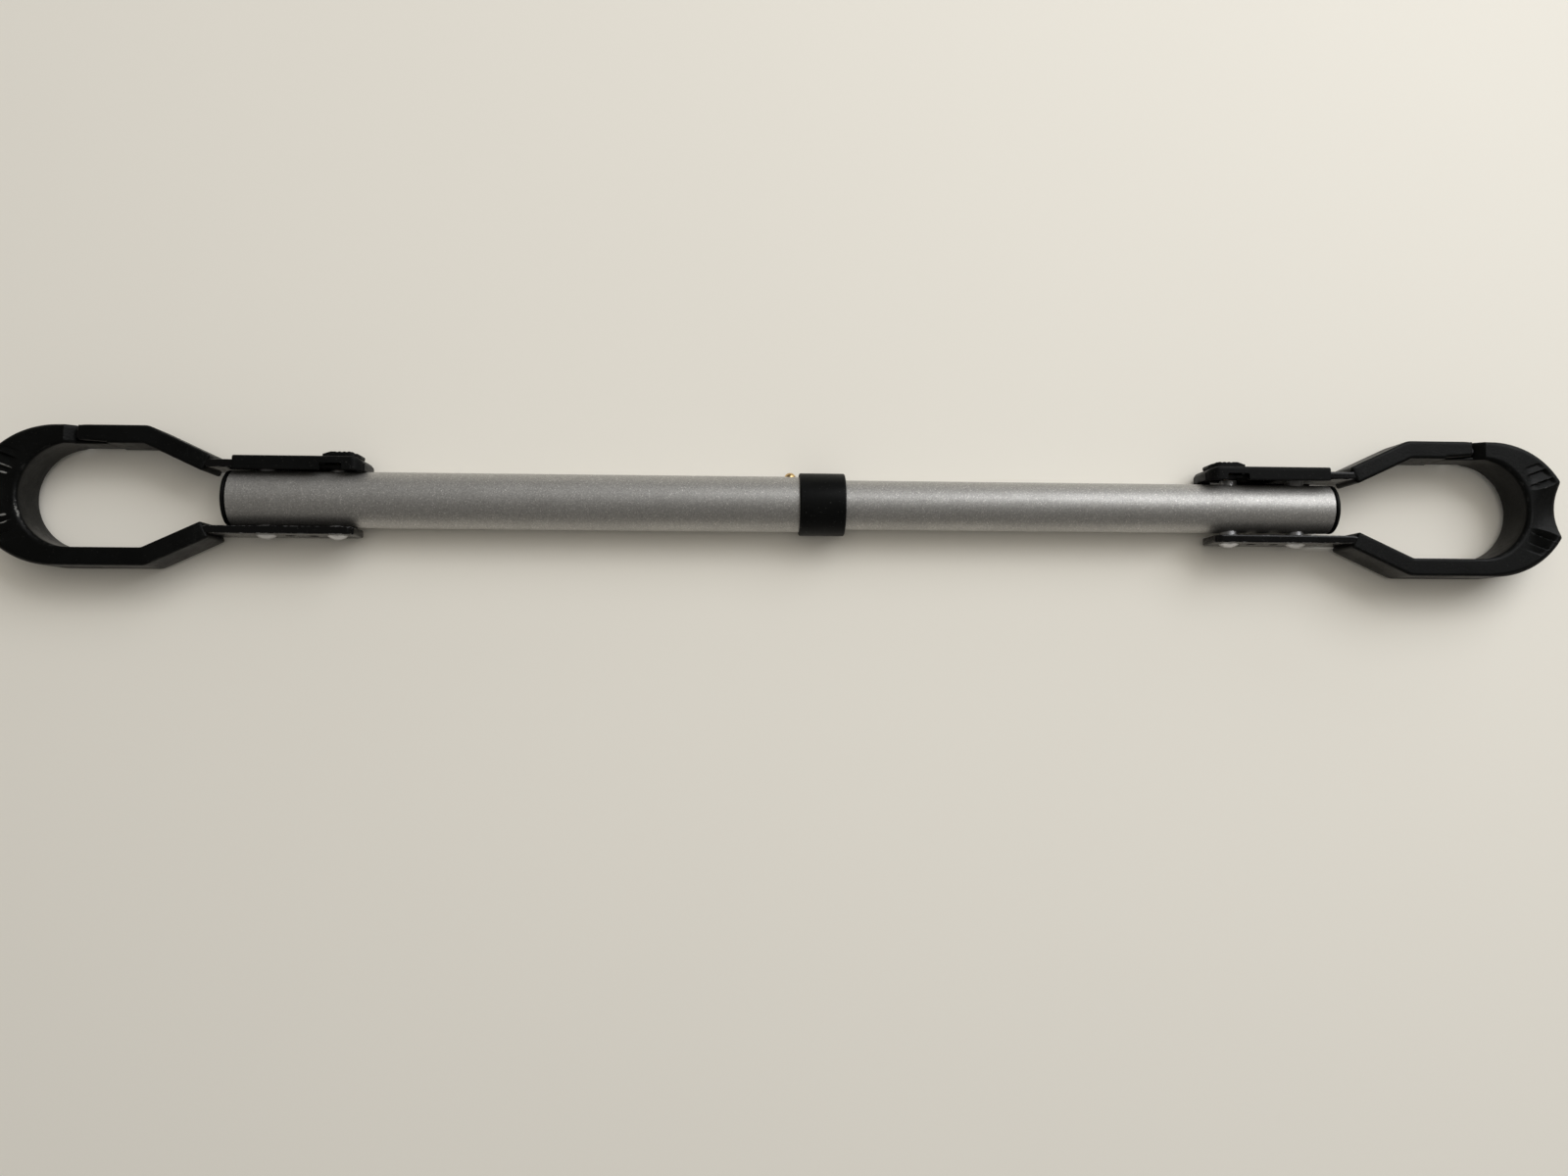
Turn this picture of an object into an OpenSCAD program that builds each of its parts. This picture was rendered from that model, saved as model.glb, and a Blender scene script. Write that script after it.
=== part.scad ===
// Telescoping frame adapter bar: two sliding tubes with a snap button between them,
// and a rubber-covered hook with a hinged, latched gate on each end.
// Millimetres. The bar lies along X with the thinner inner tube towards +X, the gates
// are on the +Y side, and Z is up through the loops. The origin is on the tubes' axis
// at the snap button, half-way along the bar when it is fully drawn out.

/* [Tubes] */
// Outside diameter of the outer tube
outer_d = 28.6; // [27:0.1:31]
// Wall of the outer tube
outer_wall = 1.2; // [1:0.1:1.5]
// Wall of the inner tube
inner_wall = 1.2; // [1:0.1:1.5]
// Radial gap between the two tubes
tube_gap = 0.4; // [0.3:0.05:0.6]

/* [Length] */
// From the middle of the bar to the inner rivet of each clasp
rivet_x = 230; // [225:1:300]
// How far each tube runs past its inner rivet
tube_reach = 51.8; // [47:0.2:56]
// How far the inner tube runs into the outer one past the button
inner_overlap = 65; // [45:1:70]
// Distance between the adjusting holes
hole_pitch = 25; // [20:1:28]
// Number of adjusting holes, counting the one in use
hole_count = 7; // [3:1:7]

/* [Collar] */
// Edge of the collar from the middle of the snap button
collar_start = 4.5; // [4:0.1:8]
// Length of the collar
collar_len = 23.5; // [18:0.5:30]
// Thickness of the collar over the outer tube
collar_wall = 1.85; // [1.5:0.05:2.5]
// Part of the collar that laps over the mouth of the outer tube
collar_lip = 2; // [1.5:0.1:3]

/* [Snap button] */
// Diameter of the button
button_d = 6.2; // [5.6:0.1:6.8]
// How far the button stands out of the outer tube
button_rise = 2.1; // [1.8:0.1:2.6]
// Diameter of the flange that stops the button in the inner tube
flange_d = 8.6; // [8.2:0.1:9.4]
// Thickness of that flange
flange_t = 1.2; // [1:0.1:1.6]
// Length of the folded spring behind the button
spring_len = 32; // [26:1:40]
// Width of the folded spring
spring_w = 8; // [6:0.5:9]
// Thickness of the folded spring
spring_t = 0.6; // [0.5:0.1:0.8]

/* [End caps] */
// Thickness of the cap's flange at the middle
cap_t = 3.2; // [1.8:0.1:4]
// Length of the cap's plug inside the tube
cap_plug = 8; // [5:0.5:9]
// Wall of the plug
cap_wall = 1.8; // [1.5:0.1:2.4]

/* [Clasp straps] */
// Width of the steel straps, across the loop
strap_w = 24; // [22:0.5:25]
// Thickness of the steel straps
strap_t = 4; // [3.5:0.1:4.4]
// Gap between a strap and the outer tube
strap_gap = 0.3; // [0.2:0.1:0.6]
// Length of the hook strap past the inner rivet
strap_end = 10.5; // [9:0.5:14]
// Corner radius at the free end of a strap
strap_corner = 6; // [3:0.5:8]
// Where the strap of the gate begins, from the inner rivet
gate_strap_start = 24; // [23:0.5:25]
// Width of a strap inside the rubber
core_w = 18; // [16:0.5:20]

/* [Loop] */
// Radius of the round end of the loop
loop_r = 26; // [24:0.5:28]
// Distance from the inner rivet to the middle of the round end
loop_u = 128; // [124:0.5:140]
// Thickness of the rubber arms, measured across the strap
rubber_t = 9.2; // [8.6:0.1:10]
// Height of the rubber, through the loop
rubber_w = 24.5; // [23:0.5:28]
// Where the straps bend away from the tube, from the inner rivet
boot_u = 62; // [59:0.5:66]
// Angle at which the arms spread
arm_angle = 25; // [22:0.5:30]
// Radius of the outside curves that run to the nose
nose_r = 41.7; // [40:0.1:46]
// How far those curves are centred past the middle of the round end
nose_shift = 8.8; // [7:0.2:10]
// Thickness of the nose at its middle
nose_wall = 17; // [15.5:0.5:19]
// Radius of the hollow across the nose
saddle_r = 56; // [48:1:70]

/* [Nose ribs] */
// Width of each rib groove
rib_w = 1.4; // [1:0.1:1.8]
// Depth of each rib groove
rib_depth = 0.7; // [0.4:0.1:1]
// Distance between the two grooves of a pair
rib_pitch = 5.6; // [5:0.2:7]
// Slope of the grooves to the length of the bar
rib_angle = 19.5; // [15:0.5:24]

/* [Gate hinge] */
// Distance from the middle of the round end back to the hinge pin
hinge_back = 3.5; // [3.2:0.1:4.2]
// Diameter of the hinge pin
pin_d = 3.2; // [2.8:0.1:3.6]
// Diameter of the hinge knuckles
knuckle_d = 6; // [5.4:0.1:6.4]
// Width of the middle knuckle
knuckle_w = 8; // [6:0.5:9]
// End gap between knuckles
knuckle_gap = 0.3; // [0.2:0.05:0.5]
// From the pin's middle to the end of the gate's rubber
gate_space = 1.2; // [1:0.1:1.6]
// From the pin's middle to the end of the hook's rubber
hook_space = 2.6; // [2.5:0.1:3]
// Radius of the gate's outer corner, which clears the hook as it swings
gate_corner = 3.6; // [3.4:0.1:4]
// Length of the ramps that thin the end of the hook
ramp_len = 4.8; // [4:0.2:6]
// Drop of those ramps, above and below
ramp_drop = 4.2; // [3:0.2:5]
// Length of the rubber tongue that covers the joint from inside
tongue_len = 16; // [13:0.5:20]
// Thickness of the tongue at its root
tongue_root = 1.5; // [1.2:0.1:1.6]
// Thickness of the tongue at its tip
tongue_tip = 0.4; // [0.3:0.1:0.6]

/* [Rivets] */
// Distance between the two rivets of a clasp
rivet_pitch = 35.4; // [34.5:0.1:36]
// Diameter of the rivet shanks
shank_d = 6; // [5:0.1:6.4]
// Diameter of the rivet heads outside the hook strap
head_d = 10; // [9:0.1:11]
// Height of those heads
head_h = 2; // [1.5:0.1:2.5]
// Diameter of the saddle spacers between tube and strap
spacer_d = 9; // [8:0.1:10]
// Diameter of the outer rivet's head on the gate side
top_head_d = 8.6; // [8:0.1:9]
// Height of that head
top_head_h = 1.8; // [1.4:0.1:2.2]
// Diameter of the two drain holes in the hook strap
drain_d = 5; // [4:0.1:5.5]

/* [Latch stud] */
// Diameter of the stud's neck
neck_d = 4.4; // [4:0.1:4.8]
// Diameter of the stud's head
stud_head_d = 7; // [6.6:0.1:7.4]
// Height of the stud's head
stud_head_h = 1.4; // [1.2:0.1:1.5]

/* [Latch housing] */
// Length of the housing past the inner rivet, away from the tip
housing_len = 49; // [47:0.5:52]
// Length of the housing's tip past the inner rivet
tip_len = 17; // [16.5:0.5:20]
// Length of the sloped and tapered part of the tip
tip_taper = 5; // [4:0.5:5.5]
// Thickness of the housing over the strap
roof_t = 2; // [1.8:0.1:2.4]
// Thickness of the housing's side walls
side_t = 1.9; // [1.6:0.1:2.4]
// How far the side walls hang below the strap
skirt = 0.9; // [0.6:0.1:1.4]
// Width of the window in each side wall
window_w = 11.2; // [9:0.2:13]
// Height of the window
window_h = 3.2; // [2.4:0.2:4]

/* [Latch slider] */
// Travel of the slider
slider_travel = 5.2; // [5:0.1:5.6]
// Thickness of the slider plate
plate_t = 1.6; // [1.4:0.1:1.8]
// Length of the thumb pad's flat top
pad_top = 12; // [10:0.5:13]
// Height of the thumb pad above the housing
pad_h = 3; // [2.4:0.1:3.4]
// Width of the thumb pad
pad_w = 20; // [16:0.5:22]
// Wire diameter of the latch spring
wire_d = 0.5; // [0.4:0.05:0.6]
// Outside diameter of the latch spring
coil_d = 2.9; // [2.6:0.1:3.2]
// Turns of the latch spring
coil_turns = 6; // [5:1:8]

/* [Screws] */
// Diameter of the housing screws
screw_d = 3; // [2.6:0.1:3.4]
// Diameter of their countersunk heads
screw_head_d = 5.6; // [5:0.1:6]
// Distance between the screws across the housing
screw_spread = 15; // [14:0.2:16]

/* [Hidden] */
$fn = 96;

// Clearances
seat_gap = 0.03;     // pieces that are fixed to each other
run_gap = 0.06;      // pins, shafts and guides that move
slide_gap = 0.2;     // loose guides
cut = 1;             // how far a cutter runs past a face

// Tubes
outer_r = outer_d / 2;
outer_bore_r = outer_r - outer_wall;
inner_r = outer_bore_r - tube_gap;
inner_bore_r = inner_r - inner_wall;
tube_end = rivet_x + tube_reach;
mouth_x = collar_start + collar_len - collar_lip;
hole_r = button_d / 2 + slide_gap;

// Snap button
button_top = outer_r + button_rise;
flange_y = sqrt(pow(inner_bore_r, 2) - pow(flange_d / 2, 2)) - slide_gap / 2;
flange_low = flange_y - flange_t;

// Straps, as distances from the tubes' axis
strap_in = outer_r + strap_gap;
strap_out = strap_in + strap_t;
strap_mid = strap_in + strap_t / 2;
arm_in = loop_r;
arm_out = loop_r + rubber_t;
arm_mid = loop_r + rubber_t / 2;
bend_u = boot_u + (arm_mid - strap_mid) / tan(arm_angle);

// Loop
nose_u = loop_u + nose_shift;
nose_off = nose_r - arm_out;
nose_tip = loop_u + loop_r + nose_wall;
hinge_u = loop_u - hinge_back;
hook_end = hinge_u + hook_space;
gate_end = hinge_u - gate_space;
tongue_u = hook_end - tongue_len;
core_set_back = 4;       // where the wide straps stop short of the rubber's ends
knuckle_space = 0.4;     // free space round the knuckles
core_step = 3;           // full width of a strap past the bend's start
core_slope = 2;          // length over which it narrows

// Stud
stud_edge = 0.4;         // bevel of its head
head_space = 1.2;        // free space round the outer rivet's head

// Latch
roof_in = strap_out;
roof_out = roof_in + roof_t;
skirt_y = strap_in - skirt;
housing_w = strap_w + 2 * (side_t + seat_gap);
tip_face = 1;            // height of the tip's square face over the tube side of the strap
tip_bend = 0.6;          // bevel between that face and the slope
window_u = 0.6;          // middle of the window
screw_inset = 3.5;       // inner screws, from the start of the gate's strap
screw_end = 4.5;         // outer screws, from the end of the housing
key_gap = 0.4;           // free space of the keyhole round the stud
plate_y = strap_in + key_gap;
plate_top = plate_y + plate_t;
neck_top = plate_top + slide_gap;
key_hole_r = stud_head_d / 2 + key_gap;
key_slot_w = neck_d + key_gap;
plate_rim = 1.4;         // width of the plate past the keyhole
plate_corner = 3.4;      // size of the plate's cut corners
plate_tip = slider_travel + key_hole_r + plate_rim;
stem_u = stud_head_d / 2 + 0.7;
stem_t = 2;
stem_w = 8;
stem_foot_w = 14;
tang_u = 13;
tang_t = 2;
tang_y = roof_in - slide_gap * 2;
slot_end = stem_u + stem_t + slider_travel + slide_gap;
pad_y = roof_out + slide_gap;
pad_edge = 0.8;          // height of the pad's low edge
pad_front_slope = 3.4;
pad_tip_slope = 4.3;
pad_front = stem_u + stem_t;
pad_flat = pad_front - pad_front_slope;
pad_back = pad_flat - pad_top;
coil_y = (plate_y + tang_y + slide_gap * 2) / 2;

// Puts a clasp on the +X end of the bar, or mirrors it onto the -X end. Inside it, X is
// the distance outward from the inner rivet.
module right_end() { translate([rivet_x, 0, 0]) children(); }
module left_end() { mirror([1, 0, 0]) translate([rivet_x, 0, 0]) children(); }

module x_cylinder(r, x0, x1) {
    translate([x0, 0, 0]) rotate([0, 90, 0]) cylinder(r = r, h = x1 - x0);
}

module y_cylinder(r, x, y0, y1) {
    translate([x, y0, 0]) rotate([-90, 0, 0]) cylinder(r = r, h = y1 - y0);
}

module slab(points, w) {
    translate([0, 0, -w / 2]) linear_extrude(w) polygon(points);
}

module block(x0, x1, y0, y1, w) {
    translate([x0, y0, -w / 2]) cube([x1 - x0, y1 - y0, w]);
}

// ---- tubes -------------------------------------------------------------------------

module tube(r, wall, x0, x1) {
    difference() {
        x_cylinder(r, x0, x1);
        x_cylinder(r - wall, x0 - cut, x1 + cut);
    }
}

module rivet_holes(r) {
    for (u = [0, rivet_pitch])
        y_cylinder(shank_d / 2 + seat_gap, rivet_x + u, -r - cut, r + cut);
}

module outer_tube() {
    color("silver") difference() {
        tube(outer_r, outer_wall, -tube_end, mouth_x);
        for (i = [0 : hole_count - 1])
            y_cylinder(hole_r, -i * hole_pitch, 0, outer_r + cut);
        mirror([1, 0, 0]) rivet_holes(outer_r);
    }
}

module inner_tube() {
    color("gainsboro") difference() {
        tube(inner_r, inner_wall, -inner_overlap, tube_end);
        y_cylinder(hole_r, 0, 0, inner_r + cut);
        rivet_holes(inner_r);
    }
}

// Plastic sleeve over the outer tube's mouth; its lip guides the inner tube.
module collar() {
    r = outer_r + collar_wall;
    edge = 0.8;
    color("#202022") difference() {
        translate([collar_start, 0, 0]) rotate([90, 0, 90]) rotate_extrude()
            polygon([[0, 0], [r - edge, 0], [r, edge], [r, collar_len - edge],
                [r - edge, collar_len], [0, collar_len]]);
        x_cylinder(outer_r + seat_gap, collar_start - cut, mouth_x + seat_gap);
        x_cylinder(inner_r + run_gap, mouth_x - cut, collar_start + collar_len + cut);
    }
}

module snap_button() {
    color("#b9975b") {
        y_cylinder(button_d / 2, 0, flange_low, button_top - button_d / 2);
        translate([0, button_top - button_d / 2, 0]) sphere(d = button_d);
        y_cylinder(flange_d / 2, 0, flange_low, flange_y);
    }
}

// Folded strip: a short flat under the button, a leg to the fold, and a leg back to the
// far wall of the inner tube.
module snap_spring() {
    seat = flange_d / 2 + 1;
    foot_y = -sqrt(pow(inner_bore_r - slide_gap / 2, 2) - pow(spring_w / 2, 2));
    color("#6f7377") slab([
        [-seat, flange_low], [seat, flange_low], [spring_len, spring_t],
        [spring_len, -spring_t], [-seat, foot_y], [-seat, foot_y + spring_t],
        [spring_len - spring_t * 3, 0], [seat - spring_t, flange_low - spring_t],
        [-seat, flange_low - spring_t]], spring_w);
}

// ---- one end of the bar ------------------------------------------------------------

// Plug with a domed flange. The dome is a shallow arc over the flange's rim.
module end_cap(r, wall) {
    rim = cap_t * 0.75;
    rise = cap_t - rim;
    steps = 6;
    plug_r = r - wall - seat_gap;
    color("#1b1b1d") {
        translate([tube_reach + seat_gap, 0, 0]) rotate([90, 0, 90]) rotate_extrude()
            polygon(concat([[0, 0], [r, 0]], [for (i = [0 : steps])
                let (a = 90 * i / steps) [r * cos(a), rim + rise * sin(a)]]));
        difference() {
            x_cylinder(plug_r, tube_reach - cap_plug, tube_reach + seat_gap + cap_t / 2);
            x_cylinder(plug_r - cap_wall, tube_reach - cap_plug - cut, tube_reach - cut);
        }
    }
}

// Outline of the slanted part of an arm and its straight part up to x_end, for a strip
// that is t thick about the arm's middle line. The side on +Y is the outside.
function arm_outline(t, x_end) =
    let (h = t / 2, miter = h * tan(arm_angle / 2),
        ox = h * sin(arm_angle), oy = h * cos(arm_angle))
    [[boot_u - ox, strap_mid + oy], [bend_u - miter, arm_mid + h], [x_end, arm_mid + h],
        [x_end, arm_mid - h], [bend_u + miter, arm_mid - h], [boot_u + ox, strap_mid - oy]];

// The flat part of a strap along the tube, with rounded corners at its free end.
module strap_flat(x_free) {
    r = strap_corner;
    half = strap_w / 2;
    block(x_free + r, boot_u, strap_in, strap_out, strap_w);
    block(x_free, x_free + r, strap_in, strap_out, strap_w - 2 * r);
    for (s = [-1, 1])
        translate([x_free + r, strap_in, s * (half - r)])
            rotate([-90, 0, 0]) cylinder(r = r, h = strap_t);
}

// The bent part of a strap, narrowed where it goes into the rubber.
module strap_bend(x_end) {
    mid = boot_u + core_step;
    narrow = mid + core_slope;
    intersection() {
        slab(concat([[boot_u - cut, strap_out], [boot_u, strap_out]],
            [for (i = [1 : 3]) arm_outline(strap_t, x_end)[i]],
            [arm_outline(strap_t, x_end)[4], [boot_u, strap_in], [boot_u - cut, strap_in]]),
            strap_w);
        rotate([-90, 0, 0]) linear_extrude(arm_out)
            polygon([[boot_u - cut, -strap_w / 2], [mid, -strap_w / 2],
                [narrow, -core_w / 2], [x_end, -core_w / 2], [x_end, core_w / 2],
                [narrow, core_w / 2], [mid, strap_w / 2], [boot_u - cut, strap_w / 2]]);
    }
}

// Steel half-ring of the hook, from the lower arm to the hinge.
module hook_ring() {
    h = strap_t / 2;
    difference() {
        intersection() {
            translate([loop_u, 0, -core_w / 2]) cylinder(r = arm_mid + h, h = core_w);
            block(loop_u, loop_u + 2 * arm_out, -arm_out, arm_out, core_w);
        }
        translate([loop_u, 0, -core_w]) cylinder(r = arm_mid - h, h = 2 * core_w);
        for (s = [-1, 1])
            translate([loop_u - cut, arm_mid / 2, s * core_w / 2 - core_w / 2
                + s * knuckle_w / 2])
                cube([hook_end + core_set_back - loop_u + cut, arm_out, core_w]);
    }
}

module hook_strap_body() {
    h = strap_t / 2;
    mirror([0, 1, 0]) {
        strap_flat(-strap_end);
        strap_bend(loop_u);
    }
    hook_ring();
    block(hinge_u, loop_u, arm_mid - h, arm_mid + h, knuckle_w);
}

module hook_strap() {
    color("#151517") difference() {
        union() {
            hook_strap_body();
            translate([hinge_u, arm_mid, -knuckle_w / 2])
                cylinder(d = knuckle_d, h = knuckle_w);
        }
        translate([hinge_u, arm_mid, -knuckle_w]) cylinder(d = pin_d, h = 2 * knuckle_w);
        for (u = [0, rivet_pitch])
            y_cylinder(shank_d / 2 + seat_gap, u, -strap_out - cut, -strap_in + cut);
        for (u = [rivet_pitch / 3, rivet_pitch * 2 / 3])
            y_cylinder(drain_d / 2, u, -strap_out - cut, -strap_in + cut);
    }
}

// Two grooves across the top and the bottom of the nose, beside each of its corners.
module nose_ribs() {
    rib_len = 4 * rubber_t;
    for (y = [-1, 1], z = [-1, 1], i = [-1, 1])
        on_side(y) translate([loop_u + loop_r, arm_mid / 2, z * rubber_w / 2])
            rotate([0, 0, rib_angle]) translate([-rubber_t / 2, i * rib_pitch / 2, 0])
                translate([-rib_len / 4, -rib_w / 2, -rib_depth])
                    cube([rib_len, rib_w, 2 * rib_depth]);
}

// Leaves its children on the +Y side, or mirrors them to the -Y side where s is -1.
module on_side(s) {
    if (s < 0) mirror([0, 1, 0]) children();
    else children();
}

module hook_rubber() {
    half = rubber_w / 2;
    color("#2b2c2d") difference() {
        union() {
            intersection() {
                translate([nose_u, -nose_off, -half]) cylinder(r = nose_r, h = rubber_w);
                translate([nose_u, nose_off, -half]) cylinder(r = nose_r, h = rubber_w);
                block(nose_u, nose_u + nose_r, -arm_out - cut, arm_out + cut, rubber_w);
            }
            block(hook_end, nose_u, 0, arm_out, rubber_w);
            block(loop_u, nose_u, -arm_out, 0, rubber_w);
            mirror([0, 1, 0]) slab(arm_outline(rubber_t, loop_u), rubber_w);
            slab([[tongue_u, arm_in], [hook_end + cut, arm_in],
                [hook_end + cut, arm_in + tongue_root], [hook_end, arm_in + tongue_root],
                [tongue_u, arm_in + tongue_tip]], rubber_w);
        }
        translate([loop_u, 0, -half - cut]) cylinder(r = loop_r, h = rubber_w + 2 * cut);
        translate([nose_tip + saddle_r, 0, -half - cut])
            cylinder(r = saddle_r, h = rubber_w + 2 * cut);
        hook_strap_body();
        nose_ribs();
        knuckle_pocket();
        for (s = [-1, 1]) end_ramp(s);
    }
}

// Hollow in the ends of the rubber for the knuckles.
module knuckle_pocket() {
    w = core_w + 2 * knuckle_gap;
    translate([hinge_u, arm_mid, -w / 2]) cylinder(d = knuckle_d + 2 * knuckle_space, h = w);
}

// What the ramp at the end of the hook takes away, above or below the tongue too.
module end_ramp(s) {
    half = rubber_w / 2;
    translate([0, arm_out + cut, 0]) rotate([90, 0, 0]) linear_extrude(rubber_t + 2 * cut)
        polygon([for (p = [[tongue_u - cut, half - ramp_drop], [hook_end, half - ramp_drop],
            [hook_end + ramp_len, half], [hook_end + ramp_len, half + cut],
            [tongue_u - cut, half + cut]]) [p[0], s * p[1]]]);
}

module hinge_pin() {
    color("#8d9094") translate([hinge_u, arm_mid, -core_w / 2])
        cylinder(d = pin_d, h = core_w);
}

// Saddle spacers that seat the flat straps on the round tube.
module spacers(r) {
    color("#c9ccd0") for (u = [0, rivet_pitch], s = [-1, 1])
        on_side(s) difference() {
            y_cylinder(spacer_d / 2, u, r / 2, strap_in);
            x_cylinder(r + seat_gap, u - spacer_d, u + spacer_d);
            y_cylinder(shank_d / 2 + seat_gap, u, 0, strap_in + cut);
        }
}

// Low domed head whose flat side is at y0; it rises towards +Y, or -Y where s is -1.
module rivet_head(d, h, u, y0, s) {
    dome_r = (pow(d / 2, 2) + pow(h, 2)) / (2 * h);
    on_side(s) intersection() {
        y_cylinder(d / 2, u, y0, y0 + h);
        translate([u, y0 + h - dome_r, 0]) sphere(r = dome_r);
    }
}

module rivet() {
    color("#d4d6d8") {
        y_cylinder(shank_d / 2, rivet_pitch, -strap_out, strap_in);
        rivet_head(head_d, head_h, rivet_pitch, strap_out, -1);
        rivet_head(top_head_d, top_head_h, rivet_pitch, strap_in, 1);
    }
}

module latch_stud() {
    color("#c9a86a") {
        y_cylinder(shank_d / 2, 0, -strap_out, strap_in);
        rivet_head(head_d, head_h, 0, strap_out, -1);
        y_cylinder(neck_d / 2, 0, strap_in, neck_top);
        y_cylinder(stud_head_d / 2, 0, neck_top, neck_top + stud_head_h - stud_edge);
        translate([0, neck_top + stud_head_h - stud_edge, 0]) rotate([-90, 0, 0])
            cylinder(r1 = stud_head_d / 2, r2 = stud_head_d / 2 - stud_edge, h = stud_edge);
    }
}

// ---- gate --------------------------------------------------------------------------

module gate_core() {
    strap_bend(gate_end - core_set_back);
}

module gate_tabs(x_end) {
    h = strap_t / 2;
    inner = knuckle_w / 2 + knuckle_gap;
    for (s = [-1, 1])
        translate([gate_end - core_set_back, arm_mid - h,
            s > 0 ? inner : -core_w / 2])
            cube([x_end - gate_end + core_set_back, strap_t, core_w / 2 - inner]);
}

module screw_places() {
    for (u = [gate_strap_start + screw_inset, housing_len - screw_end], s = [-1, 1])
        translate([u, 0, s * screw_spread / 2]) children();
}

module gate_strap() {
    inner = knuckle_w / 2 + knuckle_gap;
    color("#151517") difference() {
        union() {
            block(gate_strap_start, boot_u, strap_in, strap_out, strap_w);
            gate_core();
            gate_tabs(hinge_u);
            for (s = [-1, 1])
                translate([hinge_u, arm_mid, s > 0 ? inner : -core_w / 2])
                    cylinder(d = knuckle_d, h = core_w / 2 - inner);
        }
        translate([hinge_u, arm_mid, -core_w])
            cylinder(d = pin_d + 2 * run_gap, h = 2 * core_w);
        y_cylinder(top_head_d / 2 + head_space, rivet_pitch, strap_in - cut, strap_out + cut);
        screw_places() y_cylinder(screw_d / 2 + seat_gap, 0, strap_in - cut, strap_out + cut);
    }
}

module gate_rubber() {
    slack = 0.3;
    slope = (tongue_root - tongue_tip) / (hook_end - tongue_u);
    under = tongue_root + slack - slope * (hook_end - gate_end);
    past = gate_end + cut;
    color("#2b2c2d") difference() {
        slab(arm_outline(rubber_t, gate_end), rubber_w);
        slab([[tongue_u - cut, arm_in - cut], [tongue_u - cut, arm_in + tongue_tip + slack],
            [tongue_u, arm_in + tongue_tip + slack], [gate_end, arm_in + under],
            [past, arm_in + under], [past, arm_in - cut]], rubber_w + 2 * cut);
        block(boot_u - rubber_t, boot_u, strap_in, strap_out, strap_w);
        gate_core();
        gate_tabs(past);
        knuckle_pocket();
        difference() {
            block(gate_end - gate_corner, past, arm_out - gate_corner, arm_out + cut,
                rubber_w + 2 * cut);
            translate([gate_end - gate_corner, arm_out - gate_corner, -rubber_w])
                cylinder(r = gate_corner, h = 2 * rubber_w);
        }
    }
}

// Outline of the housing from the side: a flat top that slopes down at the tip. The
// hollow inside it is the same outline, inset and run out past the open faces.
function housing_side(inset, top) =
    let (past = inset > 0 ? cut : 0, tip = -tip_len + inset)
    [[tip, skirt_y - past], [tip, strap_in + tip_face],
        [tip + tip_bend, strap_mid + tip_face], [tip + tip_taper, top],
        [housing_len + past, top], [housing_len + past, skirt_y - past]];

// Outline of the housing from above: straight sides that taper at the tip.
function housing_plan(inset, half) =
    [[-tip_len + inset, -half + tip_taper], [-tip_len + tip_taper + inset, -half],
        [housing_len + cut, -half], [housing_len + cut, half],
        [-tip_len + tip_taper + inset, half], [-tip_len + inset, half - tip_taper]];

module housing_form(inset, top, half) {
    intersection() {
        slab(housing_side(inset, top), housing_w + 2 * cut);
        translate([0, skirt_y - 2 * cut, 0]) rotate([-90, 0, 0])
            linear_extrude(roof_out) polygon(housing_plan(inset, half));
    }
}

module latch_housing() {
    color("#232426") difference() {
        housing_form(0, roof_out, housing_w / 2);
        housing_form(side_t, roof_in, strap_w / 2 + seat_gap);
        x_cylinder(outer_r + slide_gap, -tip_len - cut, housing_len + cut);
        translate([stem_u - slide_gap, roof_in - cut, -stem_w / 2 - slide_gap])
            cube([slot_end - stem_u + slide_gap, roof_t + 2 * cut, stem_w + 2 * slide_gap]);
        translate([window_u - window_w / 2, skirt_y - cut, -housing_w])
            cube([window_w, window_h + cut, 2 * housing_w]);
        screw_places() {
            y_cylinder(screw_d / 2 + seat_gap, 0, roof_in - cut, roof_out + cut);
            countersink(seat_gap);
        }
    }
}

// Screw head that widens up to the housing's outer face.
module countersink(gap) {
    depth = (screw_head_d - screw_d) / 2;
    translate([0, roof_out - depth, 0]) rotate([-90, 0, 0])
        cylinder(r1 = screw_d / 2 + gap, r2 = screw_head_d / 2 + gap, h = depth);
}

module housing_screws() {
    drive_w = 0.8;
    color("#3a3b3d") screw_places() difference() {
        union() {
            y_cylinder(screw_d / 2, 0, strap_in + slide_gap, roof_out - drive_w);
            countersink(0);
        }
        block(-screw_head_d, screw_head_d, roof_out - drive_w, roof_out + cut, drive_w);
        translate([0, roof_out - drive_w, 0])
            block(-drive_w / 2, drive_w / 2, 0, cut + drive_w, 2 * screw_head_d);
    }
}

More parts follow.
